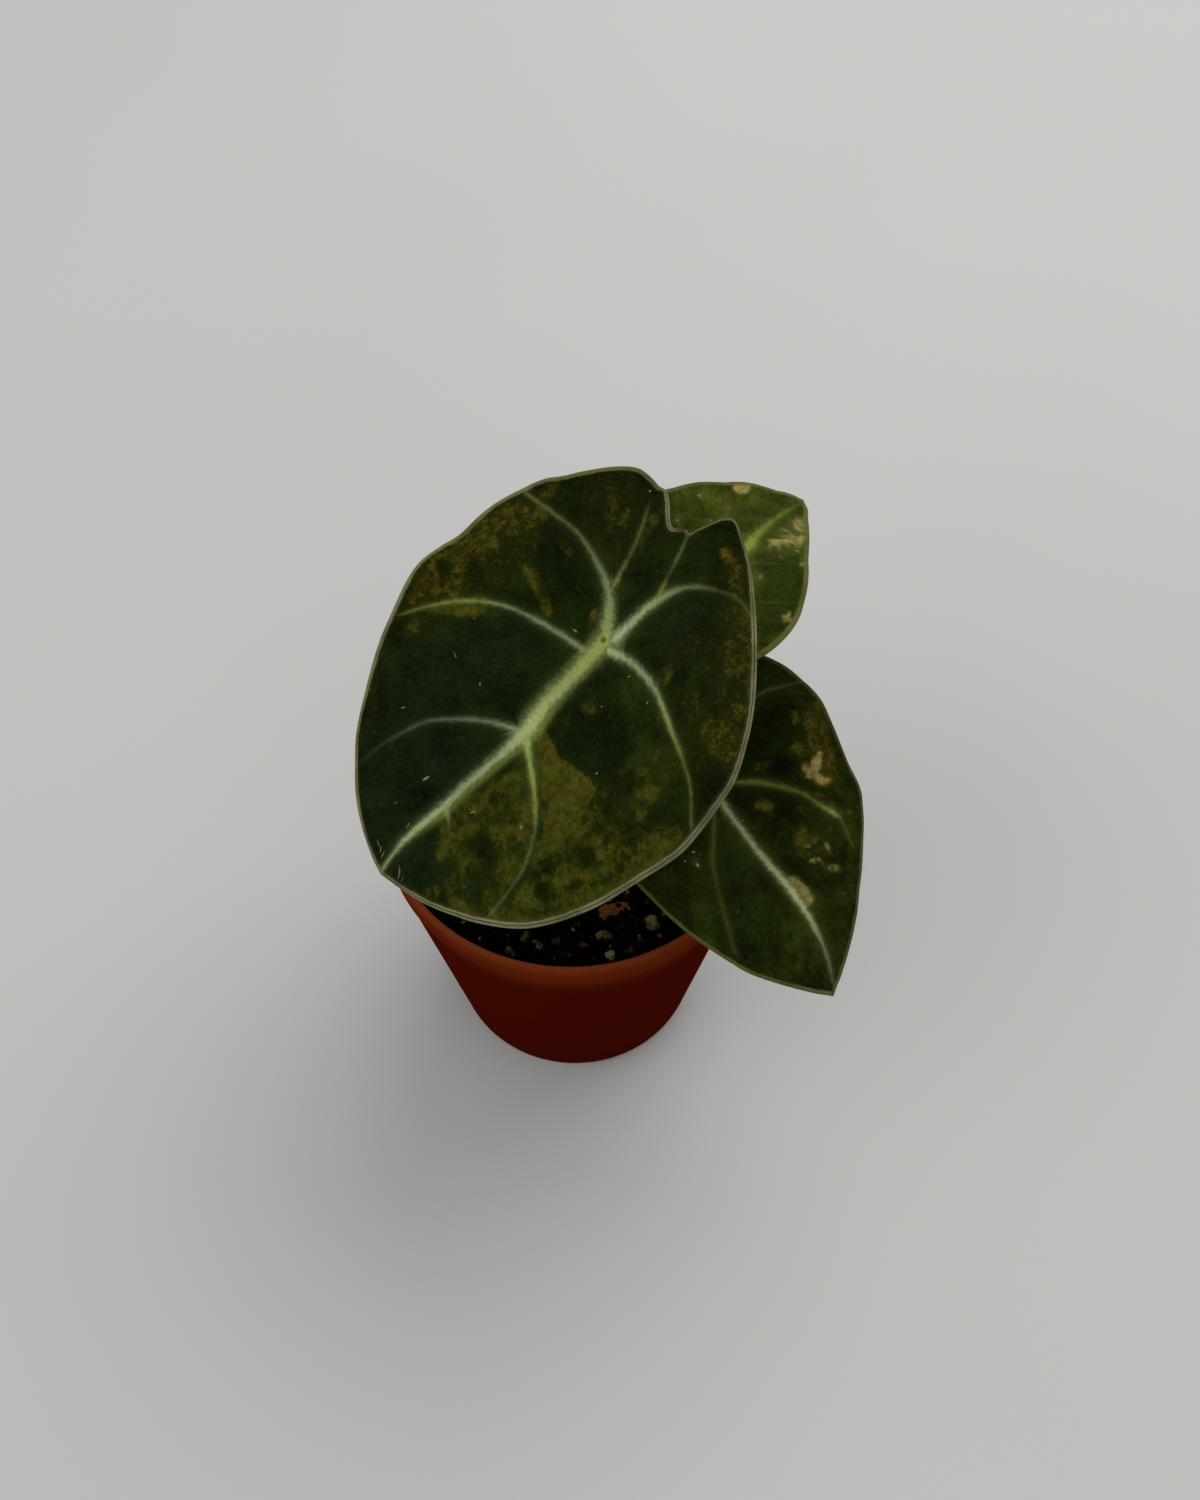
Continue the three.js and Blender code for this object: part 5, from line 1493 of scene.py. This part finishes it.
def keep_facts(mesh, upper, lower, edges, unders):
    """Keeps what the paint needs at each vertex: rings first, then the two hub points."""
    spokes = len(edges[0])
    last = slice(-1 - spokes, -1)
    for key in upper[3]:
        if key != "line_gap":
            first, second = upper[3][key], lower[3][key]
            between = [first[last]] * len(edges)
            store(mesh, key, np.concatenate([first[:-1], *between, second[:-1], first[-1:], second[-1:]]))
    hubs = [HUB_EDGE_GAP, HUB_EDGE_GAP]
    store(mesh, "edge_gap", np.concatenate([upper[2][:-1], *edges, lower[2][:-1], hubs]))
    above, below = np.zeros(len(upper[2]) - 1), np.ones(len(lower[2]) - 1)
    store(mesh, "underside", np.concatenate([above, *unders, below, [0.0, 1.0]]))


def keep_margin(mesh, blade, rim, rings):
    """Keeps the margin's strength, width and greenness by the bearing from the hub."""
    bearing = np.degrees(np.arctan2(rim[:, 1], rim[:, 0])) % 360
    bearings, widths, strengths, greens = zip(*blade["margin"])
    for key, values in (("margin", strengths), ("margin_width", widths), ("margin_green", greens)):
        round_rim = np.tile(np.interp(bearing, bearings, values), rings)
        store(mesh, key, np.append(round_rim, [values[0], values[0]]))


def blade_mesh(name, blade, sizes):
    """A closed blade: fine upper face, rolled margin and ribbed underside."""
    spokes = blade["spokes"]
    rim = smooth_path(blade["outline"], spokes)[:-1]
    run = np.roll(rim, -1, axis=0) - np.roll(rim, 1, axis=0)
    outward = np.column_stack([run[:, 1], -run[:, 0]])
    outward /= np.linalg.norm(outward, axis=1)[:, None]
    bead = sizes.margin / 2 / MM
    inner = rim - bead * outward
    square = np.abs(np.sum(rim / np.linalg.norm(rim, axis=1)[:, None] * outward, axis=1))
    outline = inner, np.linalg.norm(inner, axis=1) * square
    upper = blade_layer(blade, outline, np.linspace(0, 1, blade["rings"] + 1)[1:], bead)
    lower = blade_layer(blade, outline, np.linspace(1, 0, UNDERSIDE_RINGS + 1)[:-1], bead)
    tops = np.column_stack([upper[0], upper[4]])
    lows = np.column_stack([lower[0], lower_height(lower, sizes, bead)])
    high, low = tops[-1 - spokes:-1, 2], lows[:spokes, 2]
    beads, edges, unders = beaded_edge(inner, outward, bead, high, low)
    rings = [*tops[:-1].reshape(-1, spokes, 3), *beads, *lows[:-1].reshape(-1, spokes, 3)]
    mesh = skin(name, rings, tops[-1], lows[-1])
    local = np.empty(len(mesh.vertices) * 3)
    mesh.vertices.foreach_get("co", local)
    places = local.reshape(-1, 3) @ np.array(blade_turn(blade)).T + np.array(blade["hub"])
    mesh.vertices.foreach_set("co", (places * MM).ravel())
    mesh.update()
    keep_facts(mesh, upper, lower, edges, unders)
    keep_margin(mesh, blade, rim, len(rings))
    return mesh


def build_blades(sizes, paint):
    """The three velvet blades."""
    for key, blade in BLADES.items():
        name = "velvet_blade_" + key
        look = velvet_material("velvet_" + key, getattr(paint, key), blade["vein_cast"], paint, sizes)
        fit(piece_from(name, blade_mesh(name, blade, sizes), look), "blade", "leaf_" + key)


# ---------------------------------------------------------------- lint


def lint_tree():
    """A crumb or hair of lint on each point, sized and turned as the point says."""
    tree, given, out = start_group(
        "settled_lint", "GeometryNodeTree",
        (("Geometry", "Geometry", None), ("Roughness", "Float", 0.0001), ("Material", "Material", None)),
        (("Geometry", "Geometry"),),
    )
    ball = node(tree, "GeometryNodeMeshIcoSphere", {"Radius": MM, "Subdivisions": 2})["Mesh"]
    size, turn = (
        node(tree, "GeometryNodeInputNamedAttribute", {"Name": name}, data_type="FLOAT_VECTOR")[0]
        for name in ("size", "turn")
    )
    laid = node(
        tree, "GeometryNodeInstanceOnPoints",
        {"Points": given["Geometry"], "Instance": ball, "Rotation": turn, "Scale": size},
    )[0]
    looks = {"Geometry": crumpled(tree, laid, 6000.0, given["Roughness"]), "Material": given["Material"]}
    put(out["Geometry"], node(tree, "GeometryNodeSetMaterial", looks)[0])
    return tree


def build_lint(paint):
    """The few crumbs and hairs that have settled on the blades."""
    places, sizes, turns = [], [], []
    for blade in BLADES.values():
        if "lint" not in blade:
            continue
        spots = np.array([spot[:2] for spot in blade["lint"]], float)
        rim = smooth_path(blade["outline"], 360)
        bearing = np.arctan2(rim[:, 1], rim[:, 0])
        order = np.argsort(bearing)
        edge = np.interp(
            np.arctan2(spots[:, 1], spots[:, 0]), bearing[order], np.linalg.norm(rim, axis=1)[order]
        )
        reach = np.linalg.norm(spots, axis=1) / edge
        height = upper_height(blade, spots, reach, blade_facts(blade, spots)) + LINT_LIFT
        turn = blade_turn(blade)
        for (x, y, long, wide, angle), level in zip(blade["lint"], height):
            places.append((turn @ Vector((x, y, level)) + Vector(blade["hub"])) * MM)
            sizes.append((long, wide, LINT_HEIGHT))
            turns.append(tuple((turn @ Euler((0, 0, math.radians(angle))).to_matrix()).to_euler()))
    mesh = bpy.data.meshes.new("leaf_lint")
    mesh.from_pydata(places, [], [])
    store(mesh, "size", np.array(sizes))
    store(mesh, "turn", np.array(turns))
    tree, shader, look = start_material("lint", 0.8, 0.2)
    fibre = ease(grain(place_in_mm(tree), 4.0, 3.0), 0.3, 0.7, 0.6, 1.1)
    put(shader.inputs["Base Color"], shaded(paint.lint, fibre))
    lint = grow(piece_from("leaf_lint", mesh), lint_tree(), material=look)
    lint.data.shade_smooth()
    fit(lint, "pumice")


# ---------------------------------------------------------------- stage


def build_floor(sizes):
    """A pale paper floor."""
    mesh = bpy.data.meshes.new("floor")
    half = sizes.floor_size / 2
    corners = [(-half, -half, 0), (half, -half, 0), (half, half, 0), (-half, half, 0)]
    mesh.from_pydata(corners, [], [(0, 1, 2, 3)])
    tree, shader, material = start_material("floor_paper", 0.9, 0.1)
    tone = ease(grain(node(tree, "ShaderNodeTexCoord")["Object"], 6.0, 2.0), 0.3, 0.7, 0.985, 1.015)
    put(shader.inputs["Base Color"], shaded(sizes.floor_colour, tone))
    piece_from("floor", mesh, material)


def build_lights(sizes):
    """An even glow all round and two soft lights overhead."""
    world = bpy.data.worlds.new("studio")
    bpy.context.scene.world = world
    world.use_nodes = True
    glow = world.node_tree.nodes["Background"].inputs
    put(glow["Color"], sizes.glow_colour)
    put(glow["Strength"], sizes.glow)
    for name, where, size, power in (
        ("key_softbox", KEY_PLACE, 0.9, sizes.key_power), ("fill_softbox", FILL_PLACE, 0.6, sizes.fill_power),
    ):
        light = bpy.data.lights.new(name, "AREA")
        light.shape, light.size, light.energy = "DISK", size, power
        lamp = piece_from(name, light)
        lamp.location = where
        lamp.rotation_euler = (LIT_POINT - where).to_track_quat("-Z", "Y").to_euler()


def build_camera(sizes):
    """The camera, which looks down at the pot's mouth."""
    camera = bpy.data.cameras.new("camera")
    camera.lens = sizes.lens
    camera.clip_start = 0.01
    holder = piece_from("camera", camera)
    elevation = sizes.elevation
    toward = Vector((0, math.cos(elevation), -math.sin(elevation)))
    raised = Vector((0, math.sin(elevation), math.cos(elevation)))
    aim = Vector((0, 0, POT_HIGH.z)) + Vector((AIM_ASIDE, 0, 0)) + raised * AIM_RAISED
    holder.location = aim - toward * sizes.distance
    holder.rotation_euler = (math.pi / 2 - elevation, 0, 0)
    bpy.context.scene.camera = holder
    bpy.context.scene.view_settings.view_transform = "Standard"


def build_stage(sizes):
    """A pale floor, a soft light overhead, an even glow all round and the camera."""
    build_floor(sizes)
    build_lights(sizes)
    build_camera(sizes)


# ---------------------------------------------------------------- settings


def metres(name, text, default):
    """A length in metres."""
    return FloatProperty(name=name, description=text, default=default, min=0.0, unit="LENGTH", precision=4)


def fraction(name, text, default):
    """A share from 0 to 1."""
    return FloatProperty(name=name, description=text, default=default, min=0.0, max=1.0, subtype="FACTOR")


def hue(name, text, default):
    """A linear colour."""
    return FloatVectorProperty(
        name=name, description=text, default=default, size=3, min=0.0, max=1.0, subtype="COLOR"
    )


class AlocasiaPotSettings(bpy.types.PropertyGroup):
    """Sizes and colours of the pot."""

    rim_radius: metres("Rim radius", "Outer radius of the collar", POT_HIGH.x)
    height: metres("Height", "Height of the pot", POT_HIGH.z)
    wall: metres("Wall", "Thickness of the wall", 0.0011)
    mouth_radius: metres("Mouth radius", "Inner radius at the lip", 0.0265)
    floor_radius: metres("Floor radius", "Inner radius at the floor", 0.0182)
    floor_thickness: metres("Floor thickness", "Thickness of the floor", 0.0012)
    collar: metres("Collar", "Height of the collar", 0.0052)
    drain_holes: IntProperty(
        name="Drain holes", description="Number of drain holes", default=6, min=0, max=12
    )
    drain_radius: metres("Drain radius", "Radius of a drain hole", 0.0022)
    drain_circle: metres("Drain circle", "Radius of the ring of drain holes", 0.0125)
    roughness: fraction("Roughness", "How matt the plastic is", 0.46)
    colour: hue("Colour", "Colour of the plastic", (0.137, 0.0185, 0.0040))
    # Painted shade: the darker inner wall below the lip.
    inside: hue("Inside", "Colour of the damp inner wall", (0.065, 0.0055, 0.0012))
    # Painted shade: the darker colour of the wall below the lip.
    shaded_wall_colour: hue("Wall", "Colour of the wall below the lip", (0.068, 0.0052, 0.0015))
    # Partly wear, partly a painted highlight along the top of the lip.
    rubbed_and_highlit: hue("Rubbed", "Colour of the rubbed lip", (0.215, 0.052, 0.0185))
    smear: hue("Smear", "Colour of dried mix on the plastic", (0.016, 0.008, 0.0045))


class AlocasiaSoilSettings(bpy.types.PropertyGroup):
    """Sizes and colours of the potting mix."""

    lumps: metres("Lumps", "How far the surface rises and falls", 0.0006)
    spacing: metres("Spacing", "Smallest gap between two crumbs", 0.00085)
    smallest: metres("Smallest", "Smallest crumb radius", 0.00022)
    largest: metres("Largest", "Largest crumb radius", 0.0008)
    colour: hue("Colour", "Colour of the damp mix", (0.0007, 0.0005, 0.0003))
    light: hue("Light", "Colour of the drier crumbs", (0.0075, 0.0042, 0.0019))
    mineral: hue("Mineral", "Colour of the mineral crumbs", (0.020, 0.016, 0.006))
    mineral_light: hue("Mineral light", "Colour of the paler mineral crumbs", (0.10, 0.085, 0.035))


class AlocasiaGritSettings(bpy.types.PropertyGroup):
    """Colours of the pumice and bark."""

    pumice: hue("Pumice", "Colour of damp pumice", (0.022, 0.018, 0.007))
    pumice_light: hue("Dry pumice", "Colour of dry pumice", (0.21, 0.175, 0.066))
    bark: hue("Bark", "Colour of damp bark", (0.034, 0.012, 0.0042))
    bark_light: hue("Dry bark", "Colour of dry bark", (0.13, 0.045, 0.0155))


class AlocasiaCrownSettings(bpy.types.PropertyGroup):
    """Sizes and colours of the crown and its sheaths."""

    sheath_radius: metres("Sheath radius", "Radius of a sheath at its foot", 0.0027)
    sheath_height: metres("Sheath height", "Height of a sheath above the crown", 0.0125)
    sheath_thickness: metres("Sheath thickness", "Thickness of a sheath", 0.00022)
    colour: hue("Colour", "Colour of the stem", (0.07, 0.045, 0.02))
    light: hue("Dry", "Colour of dry sheath", (0.25, 0.16, 0.08))
    sheath_green: hue("Sheath", "Colour of the living sheath", (0.16, 0.20, 0.07))


class AlocasiaStalkSettings(bpy.types.PropertyGroup):
    """Sizes and colours of the stalks."""

    foot: metres("Foot", "Radius at the foot", 0.0019)
    neck: metres("Neck", "Radius of the middle and top", 0.0012)
    head: metres("Head", "Radius where the blade begins", 0.0018)
    colour: hue("Colour", "Colour of the stalk", (0.20, 0.27, 0.09))
    foot_colour: hue("Foot colour", "Colour near the foot", (0.20, 0.19, 0.10))
    fleck: hue("Flecks", "Colour of the flecks", (0.09, 0.035, 0.03))


class AlocasiaBladeSettings(bpy.types.PropertyGroup):
    """Thickness and nap of the blades."""

    thickness: metres("Thickness", "Thickness between veins", 0.00055)
    margin: metres("Margin", "Thickness of the rolled margin", 0.00062)
    rib: metres("Rib", "Height of the ribs under the main veins", 0.0007)
    roughness: fraction("Roughness", "How matt the nap is", 0.62)
    gloss: fraction("Gloss", "Strength of the mirror part", 0.015)
    sheen: fraction("Sheen", "Strength of the velvet sheen", 0.04)
    sheen_spread: fraction("Sheen spread", "Roughness of the sheen", 0.4)
    sheen_colour: hue("Sheen colour", "Colour of the sheen", (0.42, 0.52, 0.22))


class AlocasiaPaintSettings(bpy.types.PropertyGroup):
    """Colours of the blades."""

    front: hue("Front blade", "Ground colour of the front blade", (0.0058, 0.0104, 0.0010))
    right: hue("Right blade", "Ground colour of the right blade", (0.0090, 0.0138, 0.0012))
    # Painted light: the back blade's ground is lighter than the others' as it stood in more light.
    back: hue("Back blade", "Ground colour of the back blade", (0.028, 0.042, 0.0032))
    # Painted sheen: the bluish cast the blades' velvet showed in places.
    cool: hue("Cool", "Colour of the bluish parts of the front blade", (0.0065, 0.0135, 0.0048))
    olive: hue("Olive", "Colour of the olive patches", (0.067, 0.061, 0.0050))
    olive_deep: hue("Deep olive", "Colour of thin olive patches", (0.027, 0.031, 0.0028))
    ochre: hue("Ochre", "Colour of the ochre freckles", (0.084, 0.062, 0.0062))
    ochre_deep: hue("Deep ochre", "Colour of thin ochre freckles", (0.034, 0.030, 0.0030))
    cream: hue("Cream", "Colour of the cream patches", (0.32, 0.24, 0.076))
    cream_deep: hue("Deep cream", "Colour of thin cream patches", (0.105, 0.100, 0.020))
    vein: hue("Vein", "Colour of the middle of a vein", (0.38, 0.455, 0.225))
    vein_edge: hue("Vein edge", "Colour of a vein's soft edge", (0.17, 0.225, 0.11))
    vein_edge_yellow: hue("Young vein edge", "Colour of a young vein's soft edge", (0.16, 0.205, 0.035))
    vein_yellow: hue("Young vein", "Colour of the veins near the hub", (0.39, 0.455, 0.085))
    halo: hue("Halo", "Colour beside the veins", (0.045, 0.062, 0.016))
    margin: hue("Margin", "Colour of the margin band", (0.062, 0.056, 0.022))
    margin_line: hue("Margin line", "Colour of the margin's two lines", (0.225, 0.218, 0.112))
    margin_green: hue("Young margin", "Colour of a green margin's line", (0.135, 0.132, 0.036))
    lint: hue("Lint", "Colour of the lint", (0.27, 0.235, 0.15))
    scorch: hue("Scorch", "Colour of the browned notch", (0.040, 0.028, 0.011))
    underside: hue("Underside", "Colour of the underside", (0.13, 0.17, 0.09))
    underside_vein: hue("Underside vein", "Colour of the veins below", (0.30, 0.34, 0.19))


class AlocasiaStageSettings(bpy.types.PropertyGroup):
    """Floor, lights and camera."""

    floor_size: metres("Floor size", "Width of the floor", 6.0)
    floor_colour: hue("Floor colour", "Colour of the floor", (0.56, 0.555, 0.54))
    glow_colour: hue("Glow colour", "Colour of the light all round", (1.0, 1.0, 1.0))
    glow: fraction("Glow", "Strength of the light all round", 0.55)
    key_power: FloatProperty(
        name="Key light", description="Power of the key light", default=3.5, min=0.0, unit="POWER"
    )
    fill_power: FloatProperty(
        name="Fill light", description="Power of the fill light", default=1.0, min=0.0, unit="POWER"
    )
    lens: FloatProperty(
        name="Lens", description="Focal length of the camera", default=42.0, min=10.0, unit="CAMERA"
    )
    elevation: FloatProperty(
        name="Elevation", description="How far above the horizon the camera stands", default=math.radians(56),
        min=0.0, subtype="ANGLE",
    )
    distance: metres("Distance", "From the camera to the pot's mouth", 0.25)


# ---------------------------------------------------------------- operators and panel


class ALOCASIA_OT_pot(bpy.types.Operator):
    """Build the nursery pot"""

    bl_idname = "alocasia.pot"
    bl_label = "Pot"

    def execute(self, context):
        build_pot(context.scene.alocasia_pot)
        return {"FINISHED"}


class ALOCASIA_OT_soil(bpy.types.Operator):
    """Build the potting mix and its loose crumbs"""

    bl_idname = "alocasia.soil"
    bl_label = "Potting mix"

    def execute(self, context):
        build_soil(context.scene.alocasia_soil, context.scene.alocasia_pot)
        return {"FINISHED"}


class ALOCASIA_OT_grit(bpy.types.Operator):
    """Build the pumice and bark"""

    bl_idname = "alocasia.grit"
    bl_label = "Pumice and bark"

    def execute(self, context):
        build_grit(context.scene.alocasia_grit)
        return {"FINISHED"}


class ALOCASIA_OT_crown(bpy.types.Operator):
    """Build the crown and its sheaths"""

    bl_idname = "alocasia.crown"
    bl_label = "Crown"

    def execute(self, context):
        build_crown(context.scene.alocasia_crown)
        return {"FINISHED"}


class ALOCASIA_OT_stalks(bpy.types.Operator):
    """Build the stalks"""

    bl_idname = "alocasia.stalks"
    bl_label = "Stalks"

    def execute(self, context):
        build_stalks(context.scene.alocasia_stalk)
        return {"FINISHED"}


class ALOCASIA_OT_blades(bpy.types.Operator):
    """Build the velvet blades"""

    bl_idname = "alocasia.blades"
    bl_label = "Blades"

    def execute(self, context):
        build_blades(context.scene.alocasia_blade, context.scene.alocasia_paint)
        build_lint(context.scene.alocasia_paint)
        return {"FINISHED"}


class ALOCASIA_OT_stage(bpy.types.Operator):
    """Build the floor, the lights and the camera"""

    bl_idname = "alocasia.stage"
    bl_label = "Stage"

    def execute(self, context):
        build_stage(context.scene.alocasia_stage)
        return {"FINISHED"}


SETTINGS = {
    "alocasia_pot": AlocasiaPotSettings,
    "alocasia_soil": AlocasiaSoilSettings,
    "alocasia_grit": AlocasiaGritSettings,
    "alocasia_crown": AlocasiaCrownSettings,
    "alocasia_stalk": AlocasiaStalkSettings,
    "alocasia_blade": AlocasiaBladeSettings,
    "alocasia_paint": AlocasiaPaintSettings,
    "alocasia_stage": AlocasiaStageSettings,
}
OPERATORS = (
    ALOCASIA_OT_pot, ALOCASIA_OT_soil, ALOCASIA_OT_grit, ALOCASIA_OT_crown, ALOCASIA_OT_stalks,
    ALOCASIA_OT_blades, ALOCASIA_OT_stage,
)


class ALOCASIA_PT_pieces(bpy.types.Panel):
    """Lists the pieces and their settings"""

    bl_idname = "ALOCASIA_PT_pieces"
    bl_label = "Potted alocasia"
    bl_space_type = "VIEW_3D"
    bl_region_type = "UI"
    bl_category = "Alocasia"

    def draw(self, context):
        for operator in OPERATORS:
            self.layout.operator(operator.bl_idname)
        for name, group in SETTINGS.items():
            box = self.layout.box()
            box.label(text=group.__doc__)
            for key in group.__annotations__:
                box.prop(getattr(context.scene, name), key)


CLASSES = (*SETTINGS.values(), *OPERATORS, ALOCASIA_PT_pieces)


def register():
    for kind in CLASSES:
        bpy.utils.register_class(kind)
    for name, group in SETTINGS.items():
        setattr(bpy.types.Scene, name, PointerProperty(type=group))


def unregister():
    for name in SETTINGS:
        delattr(bpy.types.Scene, name)
    for kind in reversed(CLASSES):
        bpy.utils.unregister_class(kind)


def main():
    register()
    bpy.ops.alocasia.pot()
    bpy.ops.alocasia.soil()
    bpy.ops.alocasia.grit()
    bpy.ops.alocasia.crown()
    bpy.ops.alocasia.stalks()
    bpy.ops.alocasia.blades()
    bpy.ops.alocasia.stage()


if __name__ == "__main__":
    main()
